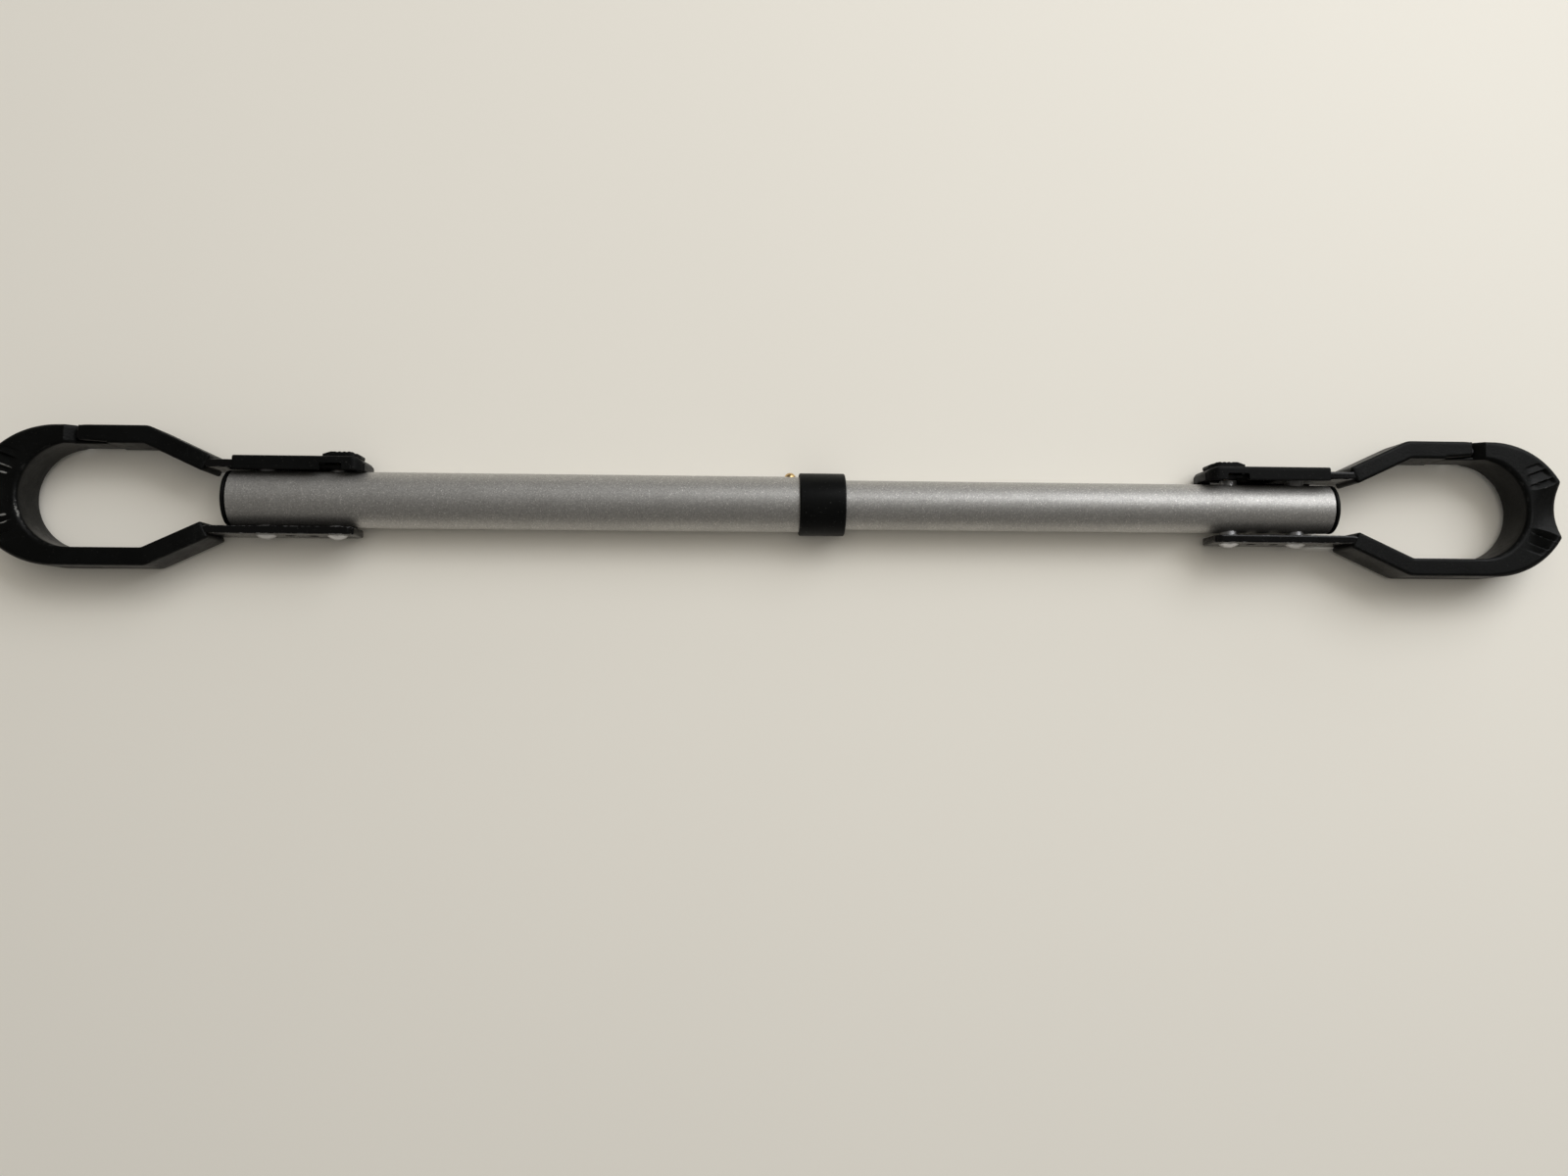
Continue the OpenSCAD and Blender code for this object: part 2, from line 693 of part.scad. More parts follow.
// Sliding plate with a keyhole round the stud's neck, a stem through the housing's roof
// and the thumb pad on top.
module latch_slider() {
    plate_half = strap_w / 2 - slide_gap;
    slot_front = (neck_d - key_slot_w) / 2 + key_gap;
    hollow_top = plate_top + seat_gap;
    color("#1e1f21") difference() {
        union() {
            block(-plate_tip, tang_u, plate_y, plate_top, 2 * (plate_half - plate_corner));
            block(-plate_tip + plate_corner, tang_u, plate_y, plate_top, 2 * plate_half);
            block(tang_u - tang_t, tang_u, plate_y, tang_y, stem_w);
            block(stem_u, pad_front, plate_y, roof_in - slide_gap, stem_foot_w);
            block(stem_u, pad_front, roof_in - cut, pad_y + cut, stem_w);
            slab([[pad_back - pad_tip_slope, pad_y], [pad_back - pad_tip_slope, pad_y + pad_edge],
                [pad_back, roof_out + pad_h], [pad_flat, roof_out + pad_h],
                [pad_front, roof_out + pad_h / 2], [pad_front, pad_y]], pad_w);
        }
        y_cylinder(key_hole_r, -slider_travel, plate_y - cut, hollow_top);
        block(-slider_travel, slot_front, plate_y - cut, hollow_top, key_slot_w);
        y_cylinder(key_slot_w / 2, slot_front, plate_y - cut, hollow_top);
    }
}

// Coil of round wire: rings of points swept along a helix, closed flat at both ends.
module latch_spring() {
    ring = 6;
    steps = 14 * coil_turns;
    helix_r = (coil_d - wire_d) / 2;
    x0 = tang_u + wire_d / 2;
    x1 = gate_strap_start - wire_d / 2;
    color("#9a9da1") polyhedron(
        points = [for (i = [0 : steps], k = [0 : ring - 1])
            let (a = 360 * i * coil_turns / steps, b = 360 * k / ring,
                r = helix_r + wire_d / 2 * cos(b))
            [x0 + (x1 - x0) * i / steps + wire_d / 2 * sin(b),
                coil_y + r * cos(a), r * sin(a)]],
        faces = concat([[for (k = [0 : ring - 1]) k]],
            [for (i = [0 : steps - 1], k = [0 : ring - 1])
                [i * ring + k, (i + 1) * ring + k,
                    (i + 1) * ring + (k + 1) % ring, i * ring + (k + 1) % ring]],
            [[for (k = [ring - 1 : -1 : 0]) steps * ring + k]]));
}

// ---- nodes -------------------------------------------------------------------------

outer_tube();
inner_tube();
collar();
snap_button();
snap_spring();

left_end() end_cap(outer_r, outer_wall);  // left_end_cap
left_end() hook_strap();  // left_hook_strap
left_end() hook_rubber();  // left_hook_rubber
left_end() rivet();  // left_rivet
left_end() latch_stud();  // left_latch_stud
left_end() spacers(outer_r);  // left_spacers
left_end() hinge_pin();  // left_hinge_pin
left_end() gate_strap();  // left_gate_strap
left_end() gate_rubber();  // left_gate_rubber
left_end() latch_housing();  // left_latch_housing
left_end() latch_slider();  // left_latch_slider
left_end() latch_spring();  // left_latch_spring
left_end() housing_screws();  // left_housing_screws

right_end() end_cap(inner_r, inner_wall);  // right_end_cap
right_end() hook_strap();  // right_hook_strap
right_end() hook_rubber();  // right_hook_rubber
right_end() rivet();  // right_rivet
right_end() latch_stud();  // right_latch_stud
right_end() spacers(inner_r);  // right_spacers
right_end() hinge_pin();  // right_hinge_pin
right_end() gate_strap();  // right_gate_strap
right_end() gate_rubber();  // right_gate_rubber
right_end() latch_housing();  // right_latch_housing
right_end() latch_slider();  // right_latch_slider
right_end() latch_spring();  // right_latch_spring
right_end() housing_screws();  // right_housing_screws
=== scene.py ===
"""Looks of a telescoping frame adapter bar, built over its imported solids.

The bar lies along X and its gates are on the +Y side. On each end, lengths called u run outward
from the inner rivet. New pieces are grids of points worked out with numpy, in metres.
"""

from math import atan2, cos, pi, radians, sin, sqrt, tan

import bpy
import numpy as np
from bpy.props import FloatProperty, FloatVectorProperty, PointerProperty
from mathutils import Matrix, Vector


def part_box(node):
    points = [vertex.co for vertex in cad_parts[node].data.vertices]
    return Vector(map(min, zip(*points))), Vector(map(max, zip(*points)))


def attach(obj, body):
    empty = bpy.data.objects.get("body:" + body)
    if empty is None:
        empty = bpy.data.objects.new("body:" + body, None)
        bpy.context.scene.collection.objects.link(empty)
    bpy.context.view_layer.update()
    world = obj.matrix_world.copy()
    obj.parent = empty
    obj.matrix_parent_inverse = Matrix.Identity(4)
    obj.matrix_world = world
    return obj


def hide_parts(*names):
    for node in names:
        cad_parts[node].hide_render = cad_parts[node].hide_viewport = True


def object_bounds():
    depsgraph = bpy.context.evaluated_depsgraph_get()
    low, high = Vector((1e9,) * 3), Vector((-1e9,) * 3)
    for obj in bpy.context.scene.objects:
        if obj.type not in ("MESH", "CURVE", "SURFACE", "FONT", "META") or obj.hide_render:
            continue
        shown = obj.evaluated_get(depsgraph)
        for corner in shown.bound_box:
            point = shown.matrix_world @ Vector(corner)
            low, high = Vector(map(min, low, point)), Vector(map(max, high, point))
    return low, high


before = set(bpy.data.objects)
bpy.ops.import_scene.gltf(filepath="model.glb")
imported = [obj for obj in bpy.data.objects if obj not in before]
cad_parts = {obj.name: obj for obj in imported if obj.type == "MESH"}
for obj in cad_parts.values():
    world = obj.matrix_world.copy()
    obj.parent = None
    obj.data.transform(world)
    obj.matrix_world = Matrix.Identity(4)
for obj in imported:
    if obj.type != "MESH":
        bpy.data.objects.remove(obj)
CAD_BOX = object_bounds()

bl_info = {
    "name": "Frame Adapter Bar",
    "version": (1, 0, 0),
    "blender": (4, 5, 0),
    "location": "3D View > Sidebar > Adapter Bar",
    "description": "Builds the finished pieces and materials of a telescoping adapter bar",
    "category": "Object",
}


def box_of(node):
    """Lowest and highest corner of a solid, as two lists of three numbers."""
    low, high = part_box(node)
    return list(low), list(high)


def middle_of(node):
    """Middle of a solid's box."""
    low, high = box_of(node)
    return [(a + b) / 2 for a, b in zip(low, high)]


RIVET_X = middle_of("right_latch_stud")[0]
PIN_U = middle_of("right_hinge_pin")[0] - RIVET_X
PIN_Y = middle_of("right_hinge_pin")[1]
ARM_OUT = box_of("right_hook_rubber")[1][1]
RUBBER_HALF = box_of("right_hook_rubber")[1][2]
STRAP_HALF = box_of("right_hook_strap")[1][2]
STRAP_IN = box_of("right_spacers")[1][1]
ROOF_IN = STRAP_IN + 0.004
SEAT_GAP = 0.00003
STRAP_END = 0.0008
FLOOR_Z = CAD_BOX[0][2]
SIDES = {"left": -1, "right": 1}
HOOK_BODY = {"left": "outer_bar", "right": "inner_bar"}


# ---- settings ----------------------------------------------------------------------------

def length(name, description, default):
    """A length that the user may change, in metres."""
    return FloatProperty(name=name, description=description, default=default, min=0.0,
                         unit="LENGTH", precision=5)


def colour(name, description, default):
    """A colour that the user may change."""
    return FloatVectorProperty(name=name, description=description, default=default,
                               subtype="COLOR", size=3, min=0.0, max=1.0)


def amount(name, description, default, unit="NONE"):
    """A strength or a power, from nothing upwards."""
    return FloatProperty(name=name, description=description, default=default, min=0.0,
                         unit=unit)


class LoopSizes(bpy.types.PropertyGroup):
    """Rubber-covered loops at the two ends."""
    loop_radius: length("Loop radius", "Radius of the round end of the loop", 0.026)
    loop_u: length("Loop centre", "From the inner rivet to the loop's middle", 0.128)
    boot_u: length("Boot", "From the inner rivet to where the rubber starts", 0.062)
    arm_angle: FloatProperty(name="Arm angle", description="Slope of the spreading arms",
                             default=radians(25), subtype="ANGLE")
    bend_radius: length("Bend radius", "Rounding of the arms' outer bends", 0.005)
    nose_radius: length("Nose radius", "Radius of the curves that run to the nose", 0.0417)
    nose_shift: length("Nose shift", "From the loop's middle to those curves' middle", 0.0088)
    nose_wall: length("Nose wall", "Thickness of the nose at its middle", 0.017)
    saddle_radius: length("Saddle radius", "Radius of the hollow across the nose", 0.056)
    edge: length("Arm edge", "Rounding of the rubber's long edges", 0.0014)
    nose_edge: length("Nose edge", "Rounding of the nose's edges", 0.0027)
    scoop: length("Scoop depth", "How deep the nose is dished between its ribs", 0.0042)
    rib_depth: length("Rib depth", "Depth of the steps on the nose", 0.0019)
    hook_space: length("Hook gap", "From the hinge pin to the hook's rubber", 0.0027)
    gate_space: length("Gate gap", "From the hinge pin to the gate's rubber", 0.0012)
    gate_corner: length("Gate corner", "Radius of the gate's outer end corner", 0.0036)
    ear: length("Gate ear", "How much further the gate reaches beside the hinge", 0.0017)
    ramp_length: length("Ramp length", "Length of the slope at the hook's end", 0.0048)
    ramp_drop: length("Ramp drop", "Height that this slope loses", 0.0042)
    tongue_length: length("Tongue length", "Length of the thin tongue under the gate", 0.016)
    tongue_root: length("Tongue root", "Thickness of the tongue at the hook", 0.0015)
    tongue_tip: length("Tongue tip", "Thickness of the tongue at its tip", 0.0004)


class SteelSizes(bpy.types.PropertyGroup):
    """Painted steel straps."""
    thickness: length("Strap thickness", "Thickness of the straps", 0.004)
    free_end: length("Free end", "Length of the hook strap past the inner rivet", 0.0105)
    corner: length("Corner", "Corner radius at the free end", 0.0025)
    edge: length("Strap edge", "Rounding of the straps' long edges", 0.0007)
    bend: length("Strap bend", "Radius of the straps' bends", 0.007)
    gate_start: length("Gate strap start", "From the inner rivet to the gate strap", 0.024)
    rivet_pitch: length("Rivet pitch", "Distance between the two rivets", 0.0354)
    drain: length("Drain hole", "Diameter of the drain holes", 0.005)
    knuckle: length("Knuckle", "Diameter of the hinge knuckles", 0.006)
    core: length("Core width", "Width of the straps inside the rubber", 0.018)
    middle_knuckle: length("Middle knuckle", "Width of the middle knuckle", 0.008)


class LatchSizes(bpy.types.PropertyGroup):
    """Plastic latch housings and their thumb sliders."""
    tip: length("Tip", "Length of the housing towards the bar's middle", 0.0152)
    end: length("End", "Length of the housing past the inner rivet", 0.049)
    taper: length("Taper", "Length of the tapered tip", 0.0062)
    tip_round: length("Tip rounding", "Width lost on each side at the tip", 0.0082)
    wall: length("Wall", "Thickness of the side walls", 0.0019)
    roof: length("Roof", "Thickness of the roof", 0.002)
    skirt: length("Skirt", "How far the walls hang past the strap", 0.0009)
    edge: length("Housing edge", "Rounding of the roof's edges", 0.0014)
    window: length("Window", "Width of the notch in each side wall", 0.0112)
    pad_height: length("Pad height", "Height of the thumb pad over the roof", 0.003)
    pad_width: length("Pad width", "Width of the thumb pad", 0.018)
    pad_edge: length("Pad edge", "Rounding of the thumb pad", 0.0008)
    pad_corner: length("Pad corner", "Rounding of the pad's corners at the tip", 0.005)


class TubeSizes(bpy.types.PropertyGroup):
    """Turned plastic pieces on the two tubes."""
    collar_edge: length("Collar edge", "Rounding of the collar's rims", 0.0009)
    cap_rim: length("Cap rim", "Height of the caps' straight rim", 0.00138)


class Finishes(bpy.types.PropertyGroup):
    """Colours of the bar's finishes."""
    rubber: colour("Rubber", "Moulded rubber", (0.0018, 0.002, 0.0019))
    # This colour also paints highlight lines along the crests of the hooks' nose ribs.
    chalk: colour("Chalk", "Scuffs and dust on the rubber", (0.32, 0.32, 0.31))
    paint: colour("Silver paint", "Paint on the tubes", (0.41, 0.4, 0.385))
    black_paint: colour("Black paint", "Gloss paint on the straps", (0.002, 0.002, 0.0021))
    plastic: colour("Black plastic", "Housings, sliders, collar and caps",
                    (0.0032, 0.0034, 0.0034))
    zinc: colour("Zinc", "Rivets and spacers", (0.5, 0.5, 0.51))
    brass: colour("Brass", "Snap button and latch studs", (0.74, 0.52, 0.25))
    steel: colour("Bare steel", "Springs and hinge pins", (0.46, 0.46, 0.47))
    oxide: colour("Black oxide", "Screws of the latch housings", (0.05, 0.05, 0.053))
    wear: amount("Wear", "How worn the surfaces are", 1.0)


class StageLook(bpy.types.PropertyGroup):
    """Floor and lamps."""
    floor: colour("Floor", "Colour of the table", (0.86, 0.835, 0.775))
    key: amount("Window light", "Power of the large soft lamp", 36.0, "POWER")
    glint: amount("Low light", "Power of the low lamp behind the bar", 10.0, "POWER")
    ceiling: amount("Ceiling light", "Power of the light from the ceiling", 14.0, "POWER")
    sky: amount("Room light", "Strength of the light from all round", 0.16)


class AdapterBar(bpy.types.PropertyGroup):
    """All the settings of the bar."""
    loop: PointerProperty(type=LoopSizes)
    steel: PointerProperty(type=SteelSizes)
    latch: PointerProperty(type=LatchSizes)
    tube: PointerProperty(type=TubeSizes)
    finish: PointerProperty(type=Finishes)
    stage: PointerProperty(type=StageLook)


def settings():
    """The bar's settings in the open scene."""
    return bpy.context.scene.adapter_bar


# ---- surfaces ----------------------------------------------------------------------------

def ease(x, low, high):
    """0 below low, 1 above high, and 3t^2 - 2t^3 between them."""
    t = np.clip((x - low) / (high - low), 0.0, 1.0)
    return t * t * (3 - 2 * t)


def section(across, wall, corner):
    """One trip round a rounded rectangle, as columns: the share f of the way across, the
    angle a on a corner, the share g of the height, 1 on the far side, and 1 on an edge."""
    turn = np.linspace(0, pi / 2, corner + 1)
    run = np.linspace(0, 1, across + 1)[1:-1]
    rise = np.linspace(1, -1, wall + 1)[1:-1]
    on_edge = np.sin(2 * turn)
    sides = [
        (run, pi / 2, 1, run > 0.5, 0),
        (1, pi / 2 - turn, 1, 1, on_edge),
        (1, 0, rise, 1, 0),
        (1, -turn, -1, 1, on_edge),
        (run[::-1], -pi / 2, -1, run[::-1] > 0.5, 0),
        (0, -pi / 2 - turn, -1, 0, on_edge),
        (0, pi, -rise, 0, 0),
        (0, pi - turn, 1, 0, on_edge),
    ]
    rows = [np.stack(np.broadcast_arrays(*[np.asarray(c, float) for c in side])) for side in sides]
    return np.concatenate(rows, axis=1)


def band(inner, outer, half, r_in, r_out, shape):
    """Rings of a bar between two lines in the XY plane. With w the distance between the
    lines and h the half height, a ring's point is x = r_in + f (w - r_in - r_out) + r cos a
    from the inner line towards the outer one, at z = g (h - r) + r sin a."""
    f, a, g, far, _ = shape
    span = outer - inner
    width = np.linalg.norm(span, axis=1)[:, None]
    way = span / np.maximum(width, 1e-9)
    count = len(inner)
    r_in, r_out, half = [np.broadcast_to(v, count)[:, None] for v in (r_in, r_out, half)]
    r = np.where(far > 0.5, r_out, r_in)
    x = r_in + f * (width - r_in - r_out) + r * np.cos(a)
    z = g * (half - r) + r * np.sin(a)
    plan = inner[:, None, :] + way[:, None, :] * x[..., None]
    return np.dstack([plan, z])


def capped(inner, outer, half, r_in, r_out, start, end):
    """Adds rounded ends of radius start and end to a band's lines. At the angle t an end
    has moved out by e sin t and its outline has shrunk by e (1 - cos t) on every side."""
    count = len(inner)
    half, r_in, r_out = [np.broadcast_to(v, count).astype(float) for v in (half, r_in, r_out)]
    mid = (inner + outer) / 2
    least = 0.00002
    lines = [inner, outer, half, r_in, r_out]
    for e, at, back in ((start, 0, 1), (end, -1, -2)):
        out = mid[at] - mid[back]
        out = out / np.linalg.norm(out)
        across = outer[at] - inner[at]
        across = across / np.linalg.norm(across)
        out = out - across * np.dot(out, across)
        out = out / np.linalg.norm(out)
        t = np.linspace(0, pi / 2, 6)[1:]
        if at == 0:
            t = t[::-1]
        shift = e * np.sin(t)[:, None] * out
        inset = e * (1 - np.cos(t))
        extra = [
            inner[at] + shift + inset[:, None] * across,
            outer[at] + shift - inset[:, None] * across,
            half[at] - inset,
            np.maximum(r_in[at] - inset, least),
            np.maximum(r_out[at] - inset, least),
        ]
        order = (0, 1) if at == 0 else (1, 0)
        lines = [np.concatenate([(new, old)[k] for k in order]) for new, old in zip(extra, lines)]
    return lines


def fillet(a, b, c, radius, count):
    """Points of the arc that rounds the corner b of the line a-b-c."""
    a, b, c = [np.asarray(p, float) for p in (a, b, c)]
    back = (a - b) / np.linalg.norm(a - b)
    on = (c - b) / np.linalg.norm(c - b)
    half = np.arccos(np.clip(np.dot(back, on), -1, 1)) / 2
    middle = b + (back + on) / np.linalg.norm(back + on) * radius / sin(half)
    first = b + back * radius / tan(half) - middle
    last = b + on * radius / tan(half) - middle
    start = atan2(first[1], first[0])
    sweep = (atan2(last[1], last[0]) - start + pi) % (2 * pi) - pi
    t = start + sweep * np.linspace(0, 1, count)
    return middle + radius * np.stack([np.cos(t), np.sin(t)], axis=1)


def lathe(profile, count):
    """Turns points (x, r) about the X axis: (x, r cos t, r sin t)."""
    t = np.linspace(0, 2 * pi, count, endpoint=False)
    x, r = profile[:, :1], profile[:, 1:]
    return np.dstack([x + 0 * t, r * np.cos(t), r * np.sin(t)])


def onto(side, points):
    """Moves points from u to the bar's X, mirrored for the left end."""
    placed = points.copy()
    placed[..., 0] = SIDES[side] * (RIVET_X + points[..., 0])
    return placed


def shell(rings, ends_shut=True):
    """Vertices, quads and triangles of rings of points. The first and the last ring are
    closed to one point each, or joined to each other. Faces are turned round where the
    volume comes out negative."""
    n, m = rings.shape[:2]
    points = rings.reshape(-1, 3)
    at = np.arange(n * m).reshape(n, m)
    if not ends_shut:
        at = np.vstack([at, at[:1]])
    beside = np.roll(at, -1, axis=1)
    quads = np.stack([at[:-1], beside[:-1], beside[1:], at[1:]], axis=-1).reshape(-1, 4)
    fans = np.zeros((0, 3), int)
    if ends_shut:
        points = np.vstack([points, rings[0].mean(axis=0), rings[-1].mean(axis=0)])
        first = np.full(m, n * m)
        fans = np.concatenate([
            np.stack([first, beside[0], at[0]], axis=-1),
            np.stack([first + 1, at[-1], beside[-1]], axis=-1),
        ])
    corners = np.concatenate([quads[:, [0, 1, 2]], quads[:, [0, 2, 3]], fans])
    a, b, c = [points[corners[:, k]] for k in range(3)]
    if np.einsum("ij,ij->", a, np.cross(b, c)) < 0:
        quads = quads[:, ::-1]
        fans = fans[:, ::-1]
    return points, quads, fans


def solid(side, rings):
    """A closed shell from rings along u, set in place on one side of the bar."""
    return shell(onto(side, rings))


def mesh_object(name, shells, marks=None, sharp=None):
    """Makes one object of closed shells. marks are values per point, kept as attributes."""
    points = []
    faces = []
    for part, quads, fans in shells:
        first = sum(len(p) for p in points)
        points.append(part)
        faces += (quads + first).tolist() + (fans + first).tolist()
    mesh = bpy.data.meshes.new(name)
    mesh.from_pydata(np.concatenate(points).tolist(), [], faces)
    mesh.polygons.foreach_set("use_smooth", np.ones(len(mesh.polygons), bool))
    if sharp:
        mesh.set_sharp_from_angle(angle=radians(sharp))
    for title, values in (marks or {}).items():
        layer = mesh.attributes.new(title, "FLOAT", "POINT")
        layer.data.foreach_set("value", np.concatenate(values).astype(np.float32))
    obj = bpy.data.objects.new(name, mesh)
    bpy.context.scene.collection.objects.link(obj)
    return obj


def mark(rings, values):
    """A value for each point of a capped shell, its two end points included."""
    grid = np.broadcast_to(values, rings.shape[:2])
    return np.append(grid.reshape(-1), [grid[0].mean(), grid[-1].mean()])


def apply_modifiers(obj):
    """Turns what the modifiers make into the object's own mesh."""
    graph = bpy.context.evaluated_depsgraph_get()
    done = bpy.data.meshes.new_from_object(obj.evaluated_get(graph), depsgraph=graph)
    obj.modifiers.clear()
    old = obj.data
    obj.data = done
    bpy.data.meshes.remove(old)


def marked_object(name, side, rings, marks, extra=()):
    """One object from a shell with marks and from plain further shells."""
    shells = [solid(side, rings)]
    values = {key: [mark(rings, value)] for key, value in marks.items()}
    for more in extra:
        shells.append(solid(side, more))
        for key in values:
            values[key].append(mark(more, 0.0))
    return mesh_object(name, shells, values)


def carve(obj, cutters, bevel=0.0, sharp=50):
    """Takes closed shells away from a piece, one by one. Then it rounds the edges by bevel,
    or keeps the edges over sharp degrees hard. Points left on top of each other are joined."""
    tools = []
    for cutter in cutters:
        tool = mesh_object("cutter", [cutter])
        cut = obj.modifiers.new("carve", "BOOLEAN")
        cut.operation = "DIFFERENCE"
        cut.solver = "EXACT"
        cut.object = tool
        tools.append(tool)
    close = obj.modifiers.new("close", "WELD")
    close.merge_threshold = 0.000004
    apply_modifiers(obj)
    for tool in tools:
        bpy.data.meshes.remove(tool.data)
    obj.data.polygons.foreach_set("use_smooth", np.ones(len(obj.data.polygons), bool))
    if bevel:
        soft = obj.modifiers.new("soften", "BEVEL")
        soft.width = bevel
        soft.segments = 2
        soft.limit_method = "ANGLE"
        soft.angle_limit = radians(40)
        soft.harden_normals = True
        tidy = obj.modifiers.new("tidy", "WELD")
        tidy.merge_threshold = 0.000002
        apply_modifiers(obj)
    else:
        obj.data.set_sharp_from_angle(angle=radians(sharp))


def finish_piece(obj, body, slot, *nodes):
    """Gives a piece its body, its slot's finish and the solids it stands for."""
    if not len(obj.data.polygons):
        raise RuntimeError(obj.name + " has no faces")
    obj.data.materials.clear()
    obj.data.materials.append(finish_named(slot))
    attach(obj, body)
    if nodes:
        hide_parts(*nodes)


# ---- shaders -----------------------------------------------------------------------------

def add(tree, kind, feeds=None, **traits):
    """Adds a node, sets its traits, and links or sets the inputs named in feeds."""
    item = tree.nodes.new(kind)
    for key, value in traits.items():
        setattr(item, key, value)
    for key, value in (feeds or {}).items():
        if isinstance(value, bpy.types.NodeSocket):
            tree.links.new(value, item.inputs[key])
        else:
            item.inputs[key].default_value = value
    return item


def calc(tree, work, *values):
    """A Math node's result."""
    item = add(tree, "ShaderNodeMath", dict(enumerate(values)), operation=work)
    return item.outputs[0]


def remap(tree, value, low, high, to_low=0.0, to_high=1.0):
    """Maps low..high to to_low..to_high, held at both ends, with a soft start and stop."""
    item = add(tree, "ShaderNodeMapRange", {0: value, 1: low, 2: high, 3: to_low, 4: to_high},
               interpolation_type="SMOOTHSTEP")
    return item.outputs[0]


def between(tree, mask, first, last):
    """A value that goes from first to last as the mask goes from 0 to 1."""
    return remap(tree, mask, 0.0, 1.0, first, last)


def blend(tree, mask, first, second):
    """Mixes two colours by a mask."""
    item = add(tree, "ShaderNodeMix", {0: mask, 6: first, 7: second}, data_type="RGBA")
    return item.outputs[2]


def times(tree, first, second):
    """The product of two values."""
    return calc(tree, "MULTIPLY", first, second)


def touch(tree, tone, mask, part, tint, gain=1.0):
    """Lays a part of a colour over a tone where the mask is."""
    return blend(tree, times(tree, mask, part), tone, rgba(tint, gain))


def noise(tree, place, size, detail=2.0, rough=0.5):
    """Plain noise from 0 to 1 with features about 1 / size metres apart."""
    item = add(tree, "ShaderNodeTexNoise",
               {"Vector": place, "Scale": size, "Detail": detail, "Roughness": rough})
    return item.outputs[0]


def stretch(tree, place, scale):
    """Scales coordinates unevenly, so that a pattern runs in one direction."""
    item = add(tree, "ShaderNodeMapping", {"Vector": place, "Scale": scale})
    return item.outputs[0]


def rgba(values, gain=1.0):
    """A colour with its alpha, made lighter or darker."""
    return tuple(min(v * gain, 1.0) for v in values) + (1.0,)


def group(name, inputs, outputs, build):
    """A node group made once. inputs are (name, socket, default)."""
    tree = bpy.data.node_groups.get(name)
    if tree:
        return tree
    tree = bpy.data.node_groups.new(name, "ShaderNodeTree")
    for title, kind, default in inputs:
        entry = tree.interface.new_socket(name=title, in_out="INPUT", socket_type=kind)
        if default is not None:
            entry.default_value = default
    for title, kind in outputs:
        tree.interface.new_socket(name=title, in_out="OUTPUT", socket_type=kind)
    source = tree.nodes.new("NodeGroupInput").outputs
    target = tree.nodes.new("NodeGroupOutput").inputs
    for title, result in build(tree, source).items():
        tree.links.new(result, target[title])
    return tree


VECTOR = ("Vector", "NodeSocketVector", None)
FLOAT = "NodeSocketFloat"


def moulded_grain():
    """Height of a moulded surface: fine pebbles, plus slow waves a dozen times wider."""
    def build(tree, source):
        fine = noise(tree, source["Vector"], source["Size"], 3.0, 0.6)
        wide = noise(tree, source["Vector"], times(tree, source["Size"], 0.08), 2.0)
        waves = times(tree, wide, source["Waves"])
        return {"Height": calc(tree, "ADD", fine, waves)}
    return group("Moulded grain", [VECTOR, ("Size", FLOAT, 1500.0), ("Waves", FLOAT, 1.0)],
                 [("Height", FLOAT)], build)


def dust():
    """Mask of dust: small specks gathered in drifts. Cover goes from 0 to 1."""
    def build(tree, source):
        cells = add(tree, "ShaderNodeTexVoronoi",
                    {"Vector": source["Vector"], "Scale": source["Size"], "Randomness": 1.0})
        grain = remap(tree, cells.outputs["Distance"], 0.12, 0.34, 1.0, 0.0)
        pick = add(tree, "ShaderNodeSeparateColor", {0: cells.outputs["Color"]}).outputs[0]
        drift = noise(tree, source["Vector"], times(tree, source["Size"], 0.11), 3.0)
        chosen = calc(tree, "LESS_THAN", pick, times(tree, drift, source["Cover"]))
        return {"Mask": times(tree, grain, chosen)}
    return group("Dust specks", [VECTOR, ("Size", FLOAT, 1800.0), ("Cover", FLOAT, 0.3)],
                 [("Mask", FLOAT)], build)


def edge_wear():
    """Mask of worn edges: the edge mark, broken up by two noises and cut at a level."""
    def build(tree, source):
        coarse = noise(tree, source["Vector"], source["Size"], 4.0, 0.65)
        spread = calc(tree, "ADD", times(tree, coarse, 1.4), -0.7)
        level = calc(tree, "ADD", source["Edge"], spread)
        bare = remap(tree, level, calc(tree, "SUBTRACT", 1.05, source["Amount"]),
                     calc(tree, "SUBTRACT", 1.35, source["Amount"]))
        return {"Mask": bare}
    return group("Edge wear", [VECTOR, ("Edge", FLOAT, 0.0), ("Size", FLOAT, 300.0),
                               ("Amount", FLOAT, 0.3)], [("Mask", FLOAT)], build)


def hairlines():
    """Mask of thin scratches: noise drawn out along one axis, of which the tops are kept."""
    def build(tree, source):
        strokes = noise(tree, source["Vector"], 1.0, 2.0, 0.7)
        patch = noise(tree, source["Vector"], 0.09, 1.0)
        line = remap(tree, strokes, calc(tree, "SUBTRACT", 0.72, source["Amount"]), 0.78)
        return {"Mask": times(tree, line, remap(tree, patch, 0.4, 0.65))}
    return group("Hairline scratches", [VECTOR, ("Amount", FLOAT, 0.05)],
                 [("Mask", FLOAT)], build)


def metal_flake():
    """Flakes in metallic paint: each cell has its own tone, and few cells sparkle."""
    def build(tree, source):
        cells = add(tree, "ShaderNodeTexVoronoi",
                    {"Vector": source["Vector"], "Scale": source["Size"], "Randomness": 1.0})
        parts = add(tree, "ShaderNodeSeparateColor", {0: cells.outputs["Color"]}).outputs
        spark = calc(tree, "POWER", parts[1], 14.0)
        return {"Tone": parts[0], "Spark": spark, "Tilt": parts[2]}
    return group("Metal flake", [VECTOR, ("Size", FLOAT, 2600.0)],
                 [("Tone", FLOAT), ("Spark", FLOAT), ("Tilt", FLOAT)], build)


